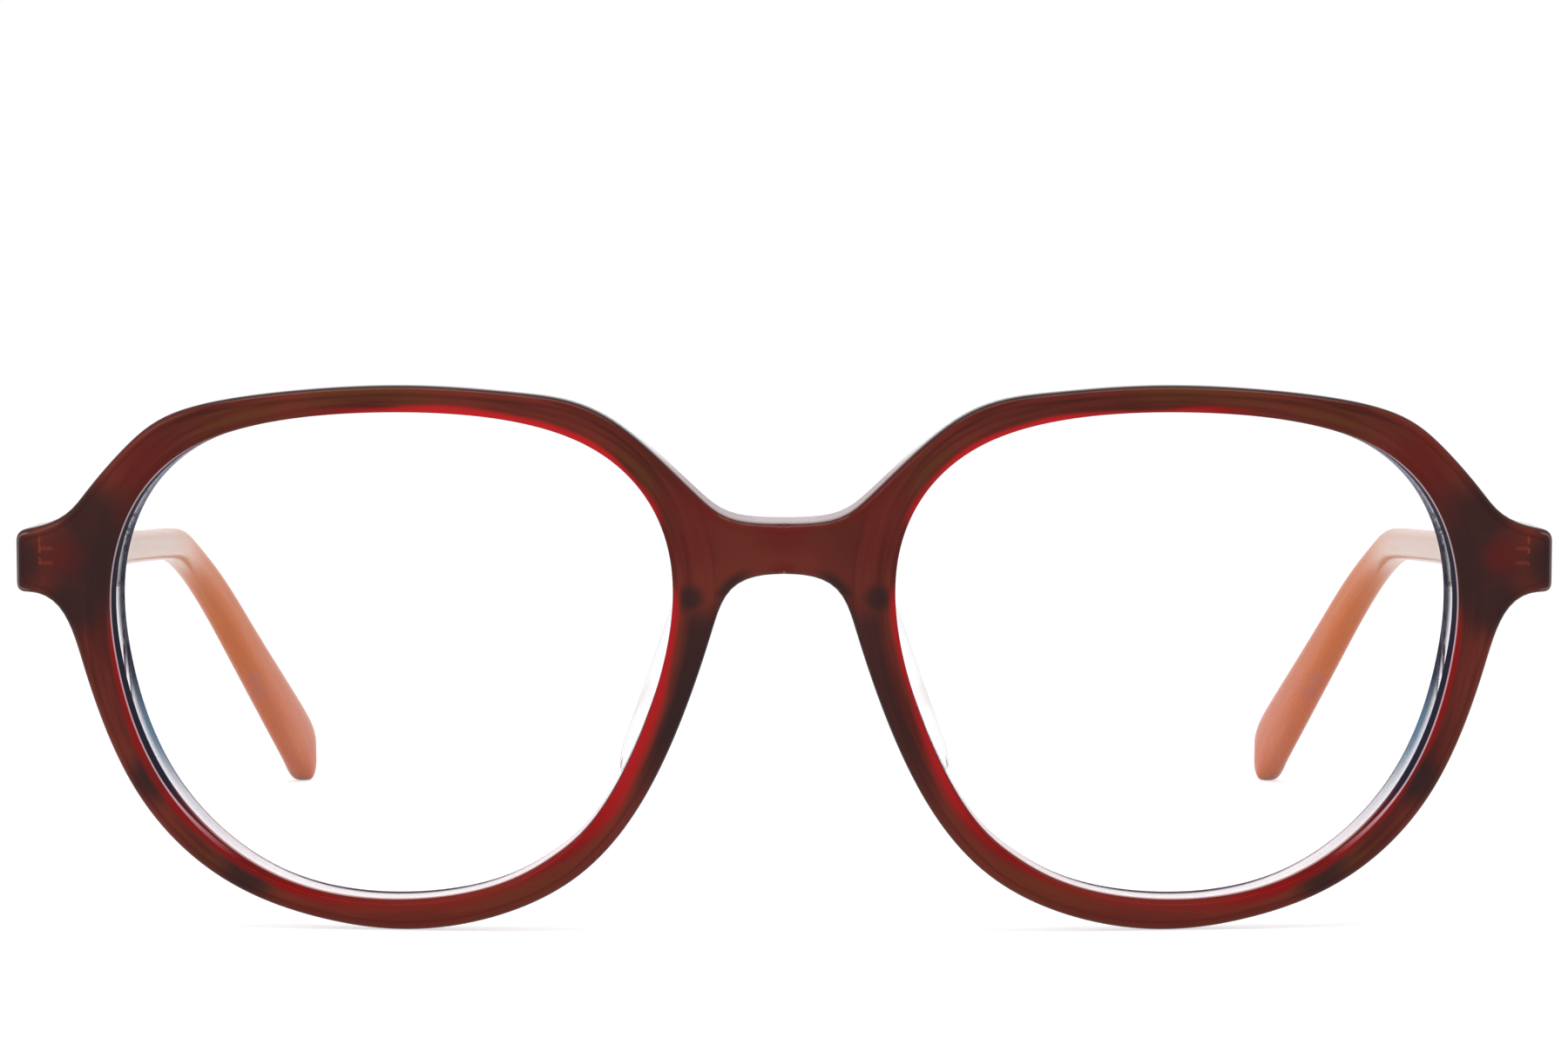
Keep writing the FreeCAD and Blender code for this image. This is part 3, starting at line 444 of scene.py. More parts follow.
class Paint:
    """A material and its nodes, built from one kind of call."""

    def __init__(self, name):
        self.material = bpy.data.materials.new(name)
        self.material.use_nodes = True
        self.tree = self.material.node_tree
        self.tree.nodes.clear()

    def add(self, kind, settings=None, inputs=None):
        """Make a node, with its settings first and then its values and links, and give
        its outputs by name."""
        node = self.tree.nodes.new(kind)
        for key, value in (settings or {}).items():
            if key == "stops":
                ramp = node.color_ramp
                while len(ramp.elements) < len(value):
                    ramp.elements.new(0.5)
                for stop, (place, colour) in zip(ramp.elements, value):
                    stop.position = place
                    stop.color = colour
            else:
                setattr(node, key, value)
        for key, value in (inputs or {}).items():
            if isinstance(value, Wire):
                self.tree.links.new(value.socket, node.inputs[key])
            else:
                node.inputs[key].default_value = value
        return {socket.name: Wire(self, socket) for socket in node.outputs if socket.enabled}

    def place(self):
        return self.add("ShaderNodeTexCoord")["Object"]

    def mark(self, name):
        return self.add("ShaderNodeAttribute", {"attribute_name": name})["Fac"]

    def noise(self, scale, detail=3.0, rough=0.55, where=None):
        return self.add("ShaderNodeTexNoise", None, {
            "Vector": where or self.place(), "Scale": scale, "Detail": detail,
            "Roughness": rough})["Fac"]

    def rise(self, value, low, high):
        """A soft step from 0 at low to 1 at high."""
        return self.add("ShaderNodeMapRange", {"interpolation_type": "SMOOTHSTEP"}, {
            "Value": value, "From Min": low, "From Max": high})["Result"]

    def blend(self, share, first, second):
        return self.add("ShaderNodeMix", {"data_type": "RGBA"}, {
            0: share, 6: first, 7: second})["Result"]

    def front_place(self):
        """How far this is from the middle plane and over the ground, in millimetres."""
        parts = self.add("ShaderNodeSeparateXYZ", None, {0: self.place()})
        across = self.add("ShaderNodeMath", {"operation": "ABSOLUTE"}, {0: parts["X"]})
        return across["Value"] * (1 / MM), parts["Z"] * (1 / MM)

    def spot(self, across, up, middle, reach):
        """A soft round spot that is 1 at its middle and falls to 0 at its reach."""
        away = ((across - middle[0]) ** 2 + (up - middle[1]) ** 2) ** 0.5
        return 1 - self.rise(away, reach * 0.25, reach)

    def spots(self, across, up, places):
        """The highest of several spots, each a middle and a reach in the units of across and up."""
        marks = [self.spot(across, up, middle, reach) for middle, reach in places]
        most = marks[0]
        for mark in marks[1:]:
            most = most.most(mark)
        return most

    def band(self, value, low, high, soft):
        """1 between two values, with soft sides."""
        return self.rise(value, low - soft, low + soft) * (
            1 - self.rise(value, high - soft, high + soft))

    def vector(self, across=0.0, back=0.0, up=0.0):
        return self.add("ShaderNodeCombineXYZ", None, {0: across, 1: back, 2: up})["Vector"]

    def relief(self, height, strength, deep):
        return self.add("ShaderNodeBump", None, {
            "Height": height, "Strength": strength, "Distance": deep * MM})["Normal"]

    def surface(self, **inputs):
        """The shader, whose input names have spaces where these have underlines."""
        named = {key.replace("_", " "): value for key, value in inputs.items()}
        shader = self.add("ShaderNodeBsdfPrincipled", None, named)["BSDF"]
        self.finish_with(shader)
        return shader

    def finish_with(self, shader):
        self.add("ShaderNodeOutputMaterial", None, {"Surface": shader})

    def on(self, *pieces):
        for piece in pieces:
            slots = piece.data.materials
            slots.clear()
            slots.append(self.material)


acetate = Paint("brown_red_acetate")
from_lens = acetate.mark("from_lens")
from_edge = acetate.mark("from_edge")
deep = acetate.mark("deep")
across, up = acetate.front_place()
round_lens = acetate.add("ShaderNodeVectorMath", {"operation": "NORMALIZE"}, {
    0: acetate.vector(across - LENS_ACROSS, 0.0, up - FRONT_LIFT)})["Vector"]
grain_way = acetate.add("ShaderNodeVectorMath", {"operation": "ADD"}, {
    0: round_lens, 1: acetate.vector(0.0, from_lens.least(4.2) * 0.7, 0.0)})["Vector"]
streak = acetate.noise(1.6, 3.0, 0.5, grain_way)
fine_streak = acetate.noise(6.0, 2.0, 0.5, grain_way)
cloud = acetate.noise(60, 2.0)
mix = streak * 0.45 + cloud * 0.45 + fine_streak * 0.1
body_colour = acetate.blend(acetate.rise(mix, 0.36, 0.62), linear(68, 16, 9),
                            linear(102, 36, 24))
amber_spots = [((38, 49), 9), ((50, 47), 6), ((14, 42), 4), ((24, 2), 9), ((50, 5), 7)]
amber = acetate.spots(across, up, amber_spots) * acetate.rise(streak, 0.35, 0.6)
body_colour = acetate.blend(amber * 0.75, body_colour, linear(82, 42, 14))
foot_light = (1 - acetate.rise(up, 4, 11)) * (1 - acetate.rise(across, 44, 54)) * 0.5
body_colour = acetate.blend(foot_light, body_colour, linear(112, 34, 20))
dark_spots = [
    ((70.5, 34), 4.5), ((62.5, 34), 8), ((63.5, 38), 5), ((65, 30), 4.5),
    ((8.5, 30.9), 1.9), ((49, 5.5), 4), ((58, 14), 3.5),
]
patch = acetate.spots(across, up, dark_spots) * 0.85
nose_side = (1 - acetate.rise(up, 28, 31.5)) * acetate.rise(up, 9, 19) * (
    1 - acetate.rise(across, 15, 21)) * acetate.rise(from_lens, 0.9, 2.0)
patch = patch.most(nose_side * (0.7 + acetate.rise(cloud, 0.4, 0.6) * 0.25))
bridge_foot = acetate.band(across, 3.4, 6.6, 1.0) * (1 - acetate.rise(from_edge, 0.5, 1.5))
patch = patch.most(bridge_foot * acetate.band(up, 31, 35, 0.6) * 0.8)
body_colour = acetate.blend(patch, body_colour, linear(36, 19, 19))
deep_red_spots = [((0, 37.2), 3.4), ((8.6, 36), 3.4), ((8, 40), 4.5), ((65.6, 34.4), 2.4),
                  ((0, 33.2), 1.8), ((58, 43), 4)]
deep_red = acetate.spots(across, up, deep_red_spots) * (0.3 + acetate.rise(cloud, 0.4, 0.6) * 0.4)
body_colour = acetate.blend(deep_red, body_colour, linear(92, 12, 7))
tine_bars = acetate.band(up, 34.95, 35.25, 0.12) + acetate.band(up, 33.6, 33.9, 0.12)
tine_marks = acetate.band(across, 66.9, 68.1, 0.15) * tine_bars * 0.5
tine_ends = acetate.band(across, 68.0, 68.2, 0.08) * acetate.band(up, 33.6, 36.2, 0.15)
tine_marks = tine_marks.most(tine_ends * acetate.rise(acetate.noise(2200, 0.0), 0.4, 0.6))
body_colour = acetate.blend((tine_marks * 0.55).limited(), body_colour, linear(150, 52, 34))
# Painted light: a bright red band along the lens mouth stands for light from behind shining through
# the acetate at its inner edge. It is left out on the temple side, the top corner, the bridge and
# the lower middle. It runs wider low by the nose, and it is brighter along the top and by the nose.
temple_dark = acetate.rise(across, 44, 50) * acetate.band(up, 29, 45.5, 1.5)
top_corner = acetate.rise(across, 37, 46) * acetate.rise(up, 38, 42)
bridge_dark = (1 - acetate.rise(across, 15, 18)) * acetate.band(up, 31.5, 38, 1.2)
foot_dark = acetate.band(across, 22, 42, 5) * (1 - acetate.rise(up, 4, 9)) * 0.55
backlit_band_place = (1 - temple_dark.most(top_corner)) * (1 - bridge_dark) * (1 - foot_dark)
low_nose = (1 - acetate.rise(across, 16, 26)) * (1 - acetate.rise(up, 16, 24))
band_edge = from_lens - (cloud - 0.5) * 1.8
backlit_red_band = (1 - acetate.rise(band_edge, 0.25, 0.85 + low_nose * 0.6)) * backlit_band_place
backlit_red_band = backlit_red_band * (1 - patch * 0.4)
brighter_backlight = acetate.band(across, 10, 38, 6) * acetate.rise(up, 38, 43)
brighter_backlight = brighter_backlight.most((1 - acetate.rise(across, 13, 20)) * 0.6)
backlit_red_colour = acetate.blend(brighter_backlight, linear(124, 0, 2), linear(178, 18, 22))
body_colour = acetate.blend(backlit_red_band.limited(), body_colour, backlit_red_colour)
# Painted shade: a thin dark line about a millimetre in from the outer edge, where the edge begins
# to round over. It is left off the bridge.
facet_shade_line = acetate.band(from_edge, 0.75, 1.0, 0.12) * acetate.rise(across, 9, 14)
body_colour = acetate.blend(facet_shade_line * 0.35, body_colour, linear(42, 10, 8))
# Painted shade: a dark line right along the outer edge, weaker on top of the bridge.
bridge_top = acetate.rise(up, 36, 37.5) * (1 - acetate.rise(across, 9, 16))
edge_shade_line = (1 - acetate.rise(from_edge, 0.03, 0.3)) * (0.8 - bridge_top * 0.5)
body_colour = acetate.blend(edge_shade_line, body_colour, linear(26, 14, 14))
end_glint = acetate.band(from_edge, 0.3, 0.42, 0.08) * acetate.rise(across, 69, 69.6)
body_colour = acetate.blend(end_glint * 0.35, body_colour, linear(160, 150, 155))
low_down = 1 - acetate.rise(up, 6, 14)
wall_start = 0.14 + low_down * 0.8
wall = acetate.rise(deep, wall_start, wall_start + 0.2) * (
    1 - acetate.rise(from_lens, 0.2, 0.5))
no_gloss = (1 - acetate.rise(from_lens, 0.1, 0.35)) * acetate.rise(deep, 0.05, 0.25)
# Painted light on the mouth wall: a dark navy reflection and shade where the wall stands above the
# lower rim. Low down the wall stays a darker red, with a pale pink painted reflection deepest in
# it.
body_colour = acetate.blend(wall * (1 - low_down), body_colour, linear(30, 27, 42))
body_colour = acetate.blend(wall * low_down, body_colour, linear(74, 26, 24))
body_colour = acetate.blend(acetate.rise(deep, 1.35, 1.5) * wall * low_down, body_colour,
                            linear(184, 126, 118))
glint = (1 - acetate.rise(from_lens, 0.03, 0.14)) * (1 - wall) * acetate.rise(
    across, 36, 48) * (1 - acetate.rise(up, 42, 47)) * (1 - low_down)
body_colour = acetate.blend(glint * 0.8, body_colour, linear(214, 184, 192))
gloss = acetate.add("ShaderNodeBsdfPrincipled", None, {
    "Base Color": body_colour, "Roughness": 0.1 + fine_streak * 0.1, "IOR": 1.49,
    "Specular IOR Level": 0.12,
    "Normal": acetate.relief(acetate.noise(1400, 2.0), 0.03, 0.02)})
matt = acetate.add("ShaderNodeBsdfDiffuse", None, {"Color": body_colour})
acetate.finish_with(acetate.add("ShaderNodeMixShader", None, {
    0: no_gloss * 0.9, 1: gloss["BSDF"], 2: matt["BSDF"]})["Shader"])
acetate.on(face_layer)

# The back layer of the front: clear, slightly lavender acetate that is thicker at the
# bridge and the end pieces. The V groove for the lenses runs round inside its walls, and
# its rear edges are polished soft.

RIM_DEEP = 5.0
BRIDGE_DEEP = 6.4
END_DEEP = 5.9
STEP_ACROSS = LENS_EDGE + END_REACH - 10.2
BUTT_BACK = (LENS_EDGE + END_REACH / 2) ** 2 / (FACE_RADIUS * 2) + END_DEEP
HINGE_RISE = END_RISE * (FACE_RADIUS - BUTT_BACK) / FACE_RADIUS
GROOVE_BACK = LENS_WIDE * LENS_HIGH / (FACE_RADIUS * 8) + 2.9
GROOVE_DEEP = 0.6
GROOVE_HALF = 1.0
REAR_ROUNDING = 0.7
REAR_MOUTH_ROUNDING = 0.4
BOND_OVERLAP = 0.03
PLATE_PROUD = 0.06


def rear_draw(flat):
    """How far each flat point is drawn in at the rear face: bridge, rim and end piece."""
    draw = np.ones(flat.shape[:-1])
    for settling in range(6):
        across = np.abs(flat[..., 0] * draw)
        deep = BRIDGE_DEEP + (RIM_DEEP - BRIDGE_DEEP) * eased(across, 2.0, 12.0)
        draw = 1 - (across ** 2 / (FACE_RADIUS * 2) + deep) / FACE_RADIUS
    tan = math.tan(FRONT_TILT)
    butt = (FACE_RADIUS - BUTT_BACK + HINGE_RISE * tan + PLATE_PROUD) / (
        FACE_RADIUS + flat[..., 1] * tan)
    step = eased(flat[..., 0] * draw, STEP_ACROSS - 0.4, STEP_ACROSS + 0.4)
    return draw + (butt - draw) * step


def lens_draw(flat, depth):
    """How far flat points are drawn in at a depth along the lens axis."""
    return (FACE_RADIUS - depth) / (flat[..., 0] * math.sin(WRAP)
                                    + FACE_RADIUS * math.cos(WRAP))


def back_layer_places():
    """Section rows: bonded side, outer wall, rear face, and the mouth with its groove."""
    flat = rows_across(REAR_MOUTH_ROUNDING, REAR_ROUNDING, 7)
    drop = (fallen(distance_to(flat, real_edge), REAR_ROUNDING)
            + fallen(distance_to(flat, closed(mouth)), REAR_MOUTH_ROUNDING))
    rear = rear_draw(flat) + drop / FACE_RADIUS
    bond = ball_draw(flat, BOND + BOND_OVERLAP)
    outer = np.linspace(bond[:, -1], rear[:, -1], 6)[1:-1].T
    outer_flat = np.repeat(flat[:, -1:], 4, axis=1)
    mouth_depths = [(GROOVE_BACK + GROOVE_HALF, 0.0), (GROOVE_BACK + 0.1, GROOVE_DEEP),
                    (GROOVE_BACK - 0.1, GROOVE_DEEP), (GROOVE_BACK - GROOVE_HALF, 0.0)]
    mouth_flat = np.stack([mouth_points(turns, spread) for depth, spread in mouth_depths],
                          axis=1)
    mouth_draw = np.stack([lens_draw(mouth_flat[:, i], depth)
                           for i, (depth, spread) in enumerate(mouth_depths)], axis=1)
    sheets = [(flat[:, ::2], bond[:, ::2]), (outer_flat, outer),
              (flat[:, ::-1], rear[:, ::-1]), (mouth_flat, mouth_draw)]
    places, marks = stacked(sheets)
    all_flat = np.concatenate([sheet[0] for sheet in sheets], axis=1)
    all_draw = np.concatenate([sheet[1] for sheet in sheets], axis=1)
    marks["from_rear"] = (all_draw - rear_draw(all_flat)) * FACE_RADIUS
    return places, marks


places, marks = back_layer_places()
back_layer = mirrored_front(shaped_sheet("back_layer", places, **marks))
smooth(back_layer)
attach(back_layer, "front")
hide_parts("front_back_layer")

crystal = Paint("clear_lavender_acetate")
across, up = crystal.front_place()
from_lens = crystal.mark("from_lens")
from_edge = crystal.mark("from_edge")
from_rear = crystal.mark("from_rear")
in_mouth = 1 - crystal.rise(from_lens, 0.1, 0.5)
temple_side = crystal.rise(across, 44, 56) * crystal.rise(up, 6, 18)
# Painted light on the clear layer's mouth walls, drawn with an opaque matt finish. On the temple
# side it is a slate-blue, navy and grey-lavender reflection by height. Low down it is a pale
# highlight that turns rosy towards the face layer.
side_wall_reflection = crystal.blend(crystal.rise(up, 17, 25), linear(96, 124, 148),
                            linear(40, 37, 54))
side_wall_reflection = crystal.blend(crystal.rise(up, 35, 42), side_wall_reflection, linear(128, 122, 138))
# Painted shade: a dark line along the rear edge of the lower mouth.
rear_shade_line = (1 - crystal.rise(from_rear, 0.35, 0.6)) * in_mouth * (
    1 - crystal.rise(up, 14, 22))
rosy = crystal.rise(from_rear, 2.2, 2.9)
low_wall_highlight = crystal.blend(rosy, linear(240, 224, 226), linear(196, 142, 136))
wall_light_and_shade = crystal.blend(temple_side, low_wall_highlight, side_wall_reflection)
wall_light_and_shade = crystal.blend(rear_shade_line * 0.9, wall_light_and_shade, linear(48, 26, 32))
# Painted reflection: a grey band along the top of the bridge.
bridge_top = (1 - crystal.rise(from_edge, 0.1, 0.5)) * crystal.rise(up, 33, 35) * (
    1 - crystal.rise(across, 9, 16))
wall_light_and_shade = crystal.blend(bridge_top, wall_light_and_shade, linear(176, 163, 168))
# How much of the walls and bridge top takes the painted light in place of the clear acetate.
low_mouth = (1 - crystal.rise(up, 8, 18)) * 0.75
painted = (in_mouth * (temple_side * 0.95).most(low_mouth)).most(rear_shade_line * 0.95).most(
    bridge_top * 0.9)
clear = crystal.add("ShaderNodeBsdfPrincipled", None, {
    "Base Color": crystal.blend(crystal.noise(60), linear(249, 247, 252),
                                linear(240, 240, 247)),
    "Roughness": 0.02 + crystal.noise(300) * 0.04, "IOR": 1.49, "Transmission Weight": 1.0})
tinted = crystal.add("ShaderNodeBsdfDiffuse", None, {
    "Color": wall_light_and_shade, "Roughness": 0.1})
crystal.finish_with(crystal.add("ShaderNodeMixShader", None, {
    0: painted.limited(), 1: clear["BSDF"], 2: tinted["BSDF"]})["Shader"])
crystal.on(back_layer)

# The lenses: clear coated plastic, edged to a V that sits in the groove. Both faces are
# ball-shaped about the same middle, a steeper ball than the front's.

LENS_THICK = 2.0
LENS_RADIUS = 180.0
LENS_PLAY = 0.1
LENS_FACE_SPREAD = -0.2
LENS_COLUMNS = 180


def lens_places():
    apex = GROOVE_BACK - LENS_THICK / 2 - LENS_WIDE * LENS_HIGH / (LENS_RADIUS * 8)
    shape = drawn_curve(LENS_SHARES, True)
    shape = spaced(closed(shape), LENS_COLUMNS)[:-1]
    rows = []
    share_steps = np.linspace(0, 1, 9) ** 0.7
    for share in share_steps:
        rows.append((share, LENS_FACE_SPREAD, 0))
    rows.append((1, GROOVE_DEEP - LENS_PLAY, None))
    for share in share_steps[::-1]:
        rows.append((share, LENS_FACE_SPREAD, LENS_THICK))
    table = []
    for share, spread, behind in rows:
        across = shape[:, 0] * (LENS_WIDE / 2 + spread) * share
        up = shape[:, 1] * (LENS_HIGH / 2 + spread) * share
        if behind is None:
            depth = np.full(len(shape), GROOVE_BACK)
        else:
            radius = LENS_RADIUS - behind
            depth = apex + LENS_RADIUS - np.sqrt(radius ** 2 - across ** 2 - up ** 2)
        shrink = (FACE_RADIUS - depth) / FACE_RADIUS
        across, up = across * shrink, up * shrink
        reach = FACE_RADIUS - depth
        x = reach * math.sin(WRAP) + across * math.cos(WRAP)
        y = FACE_RADIUS - reach * math.cos(WRAP) + across * math.sin(WRAP)
        lean = (math.cos(FRONT_TILT), math.sin(FRONT_TILT))
        table.append(np.stack([x, FRONT_BACK + y * lean[0] - up * lean[1],
                               FRONT_LIFT + y * lean[1] + up * lean[0]], axis=-1))
    return np.stack(table, axis=1)


def other_side(piece, name):
    """A copy of a piece on the other half, mirrored in its mesh."""
    copy = piece.copy()
    copy.data = piece.data.copy()
    copy.name = name
    copy.data.name = name
    bpy.context.collection.objects.link(copy)
    copy.data.transform(Matrix.Scale(-1, 4, (1, 0, 0)))
    weld(copy)
    return copy


lens_piece = shaped_sheet("lens_glass_right", lens_places(), closed_round=False)
smooth(lens_piece)
lens_other = other_side(lens_piece, "lens_glass_left")
smooth(lens_other)
for piece, side in ((lens_piece, "right"), (lens_other, "left")):
    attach(piece, "front")
    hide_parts("lens_" + side)

glass = Paint("coated_lens")
clear = glass.add("ShaderNodeBsdfTransparent", None, {"Color": (0.985, 0.99, 0.99, 1)})["BSDF"]
shine = glass.add("ShaderNodeBsdfGlossy", None, {
    "Color": (0.9, 0.93, 1.0, 1), "Roughness": 0.02})["BSDF"]
facing = glass.add("ShaderNodeFresnel", None, {"IOR": 1.12})["Fac"]
smear = 0.7 + glass.noise(40) * 0.6
glass.finish_with(glass.add("ShaderNodeMixShader", None, {
    0: (facing * smear).least(0.08), 1: clear, 2: shine})["Shader"])
glass.on(lens_piece, lens_other)

# The nose pads: two clear tear-shaped slabs, cast and glued to the rear of the rims
# beside the nose, with every edge rounded over.

PAD_LONG = 18.6
PAD_WIDE = 7.2
PAD_THICK = 2.0
PAD_SIDE = 11.0
PAD_DROP = 3.4
PAD_BACK = RIM_DEEP + PAD_WIDE / 2 - 1.4
PAD_SPLAY = math.radians(17)
PAD_SLANT = math.radians(20.5)


def nose_pad(name):
    clear_selection()
    bpy.ops.mesh.primitive_cube_add(size=1)
    pad = bpy.context.object
    pad.name = name
    pad.data.name = name
    pad.data.transform(Matrix.Diagonal((PAD_THICK, PAD_WIDE, PAD_LONG, 1)))
    bpy.ops.object.mode_set(mode="EDIT")
    bpy.ops.mesh.select_mode(type="EDGE")
    bpy.ops.mesh.select_all(action="DESELECT")
    bpy.ops.object.mode_set(mode="OBJECT")
    for edge in pad.data.edges:
        first, last = (pad.data.vertices[i].co for i in edge.vertices)
        edge.select = abs(first.x - last.x) > PAD_THICK / 2
    bpy.ops.object.mode_set(mode="EDIT")
    bpy.ops.mesh.bevel(offset=PAD_WIDE * 0.47, segments=14, affect="EDGES")
    bpy.ops.object.mode_set(mode="OBJECT")
    soft = pad.modifiers.new("soft", "BEVEL")
    soft.width = PAD_THICK * 0.42
    soft.segments = 5
    soft.limit_method = "ANGLE"
    soft.angle_limit = math.radians(60)
    bpy.ops.object.modifier_apply(modifier="soft")
    pad.data.transform(Matrix.Translation((PAD_SIDE, PAD_BACK, -PAD_DROP))
                       @ Matrix.Rotation(-PAD_SPLAY, 4, "Z")
                       @ Matrix.Rotation(-PAD_SLANT, 4, "Y"))
    pad.data.transform(Matrix.Translation((0, FRONT_BACK, FRONT_LIFT))
                       @ Matrix.Rotation(FRONT_TILT, 4, "X"))
    pad.data.transform(Matrix.Scale(MM, 4))
    weld(pad)
    smooth(pad)
    return pad


pad_piece = nose_pad("nose_rest_right")
pad_other = other_side(pad_piece, "nose_rest_left")
smooth(pad_other)
for piece, side in ((pad_piece, "right"), (pad_other, "left")):
    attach(piece, "front")
    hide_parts("nose_pad_" + side)

pad_paint = Paint("clear_pad_acetate")
pad_clear = pad_paint.add("ShaderNodeBsdfPrincipled", None, {
    "Base Color": pad_paint.blend(pad_paint.noise(150), linear(253, 253, 254),
                                  linear(246, 247, 250)),
    "Roughness": 0.02 + pad_paint.noise(500) * 0.04, "IOR": 1.2, "Transmission Weight": 1.0})
# Painted shade: where the pad is seen at a grazing angle, a grey finish is mixed in to draw its
# outline.
pad_edge_shade = pad_paint.add("ShaderNodeBsdfPrincipled", None, {
    "Base Color": pad_paint.blend(pad_paint.noise(300), linear(120, 118, 122),
                                  linear(160, 158, 164)), "Roughness": 0.2})
grazing = pad_paint.add("ShaderNodeLayerWeight", None, {"Blend": 0.5})["Facing"]
pad_paint.finish_with(pad_paint.add("ShaderNodeMixShader", None, {
    0: pad_paint.rise(grazing, 0.6, 0.95) * 0.6, 1: pad_clear["BSDF"], 2: pad_edge_shade["BSDF"]})[
    "Shader"])
pad_paint.on(pad_piece, pad_other)

# The hinges: five-knuckle hinges of nickel silver, blanked, barrelled and sunk hot into
# the acetate, with a slotted screw through the knuckles of each.

nickel = Paint("nickel_silver")
scratches = nickel.add("ShaderNodeTexNoise", None, {
    "Vector": nickel.add("ShaderNodeMapping", None, {
        "Vector": nickel.place(), "Scale": (1.0, 1.0, 14.0)})["Vector"],
    "Scale": 900.0, "Detail": 3.0})["Fac"]
nickel.surface(
    Base_Color=nickel.blend(nickel.noise(700), (0.52, 0.51, 0.49, 1), (0.66, 0.65, 0.62, 1)),
    Metallic=1.0, Roughness=0.22 + scratches * 0.2,
    Normal=nickel.relief(scratches, 0.15, 0.02))
screw_steel = Paint("turned_screw_steel")
screw_steel.surface(
    Base_Color=screw_steel.blend(screw_steel.noise(1500), (0.42, 0.42, 0.43, 1),
                                 (0.6, 0.6, 0.61, 1)),
    Metallic=1.0, Roughness=0.2 + screw_steel.noise(2500) * 0.15)
for side in ("left", "right"):
    nickel.on(frame["nodes"]["front_hinge_" + side], frame["nodes"]["temple_hinge_" + side])
    screw_steel.on(frame["nodes"]["hinge_screw_" + side])

# The core wires: flat nickel silver wires, shot hot into the temples. They stiffen the
# temples and let an optician bend the tips.

wire_paint = Paint("core_wire_metal")
wire_paint.surface(
    Base_Color=wire_paint.blend(wire_paint.noise(500), (0.5, 0.48, 0.46, 1),
                                (0.62, 0.6, 0.57, 1)),
    Metallic=1.0, Roughness=0.3 + wire_paint.noise(900) * 0.2)
wire_paint.on(frame["nodes"]["core_wire_left"], frame["nodes"]["core_wire_right"])

# The temples: one length each of peach to orange acetate, cut from sheet, bent over the
# ear and tumbled until every edge is round. The hinge leaf is sunk in the inner side.

TEMPLE_LONG = 97.0
TIP_LONG = 45.0
TIP_DROP = math.radians(33.9)
TOE = math.radians(1.15)
TIP_INWARD = math.radians(14.6)
TIP_HOOK = 0.5
BUTT_HIGH = 5.3
WAIST_HIGH = 3.2
ELBOW_HIGH = 4.3
PADDLE_HIGH = 6.8
TEMPLE_THICK = 3.7
TIP_THICK = 3.0
KNUCKLE_RADIUS = 1.4
PLATE_PLAY = 0.12
BUTT_GAP = 0.12
PIN_BACK = KNUCKLE_RADIUS + PLATE_PLAY
BUTT_START = -PIN_BACK + BUTT_GAP
WIRE_START = 10.0
LEAF_PROUD = 0.04
SECTION_ROUNDING = 1.15
TIP_ROUND = 5.0
TEMPLE_COLUMNS = 150

TOP_SHARES = [
    # leg, way along that leg, half height as a share of the named height
    ("long", 0.14, BUTT_HIGH, 0.94), ("long", 0.34, WAIST_HIGH, 1.02),
    ("long", 0.62, WAIST_HIGH, 1.0), ("long", 0.80, WAIST_HIGH, 1.0),
    ("long", 0.91, ELBOW_HIGH, 0.84), ("tip", 0.10, ELBOW_HIGH, 0.94),
    ("tip", 0.42, PADDLE_HIGH, 0.72), ("tip", 0.8, PADDLE_HIGH, 0.95),
    ("tip", 0.985, PADDLE_HIGH, 1.04),
]
END_SHARES = [(1.0, 0.45), (1.055, -0.8)]
MEETING_SHARE = (1.045, -0.84)


def leg_point(leg, share, up, slope):
    """A point on a leg seen from the side, set off square to it, about the hinge pin."""
    angle = slope if leg == "long" else slope + TIP_DROP
    along = (TEMPLE_LONG if leg == "long" else TIP_LONG) * share
    start = (0, 0) if leg == "long" else (
        TEMPLE_LONG * math.cos(slope), -TEMPLE_LONG * math.sin(slope))
    return (start[0] + along * math.cos(angle) + up * math.sin(angle),
            start[1] - along * math.sin(angle) + up * math.cos(angle))


def temple_side_line(slope):
    top = [leg_point(leg, share, high * 0.5 * part, slope)
           for leg, share, high, part in TOP_SHARES]
    tip = [leg_point("tip", share, PADDLE_HIGH * 0.5 * part, slope)
           for share, part in END_SHARES]
    foot = [leg_point(leg, share, -high * 0.5 * part, slope)
            for leg, share, high, part in reversed(TOP_SHARES)]
    poles = ([(BUTT_START, BUTT_HIGH / 2)] + top + tip + foot
             + [(BUTT_START, -BUTT_HIGH / 2)])
    return drawn_curve(poles, False)


def resting_slope():
    """The slope of the long leg at which the tip just reaches the ground."""
    low, high = 0.0, math.radians(9)
    for halving in range(24):
        slope = (low + high) / 2
        if temple_side_line(slope)[:, 1].min() + pin.z > 0:
            low = slope
        else:
            high = slope
    return slope


SLOPE = resting_slope()
ELBOW_BACK = TEMPLE_LONG * math.cos(SLOPE)
TIP_RUN = TIP_LONG * math.cos(SLOPE + TIP_DROP)
PLAN_SHARES = [
    # leg, way along that leg, share of the taper from the temple's to the tip's thickness
    ("butt", 0.3, 0.0), ("butt", 0.65, 0.0), ("butt", 1.0, 0.0), ("long", 0.3, 0.2),
    ("long", 0.7, 0.5), ("long", 0.86, 0.7), ("long", 1.0, 0.9), ("tip", 0.3, 1.0),
    ("tip", 0.65, 1.0), ("tip", 1.3, 1.0),
]


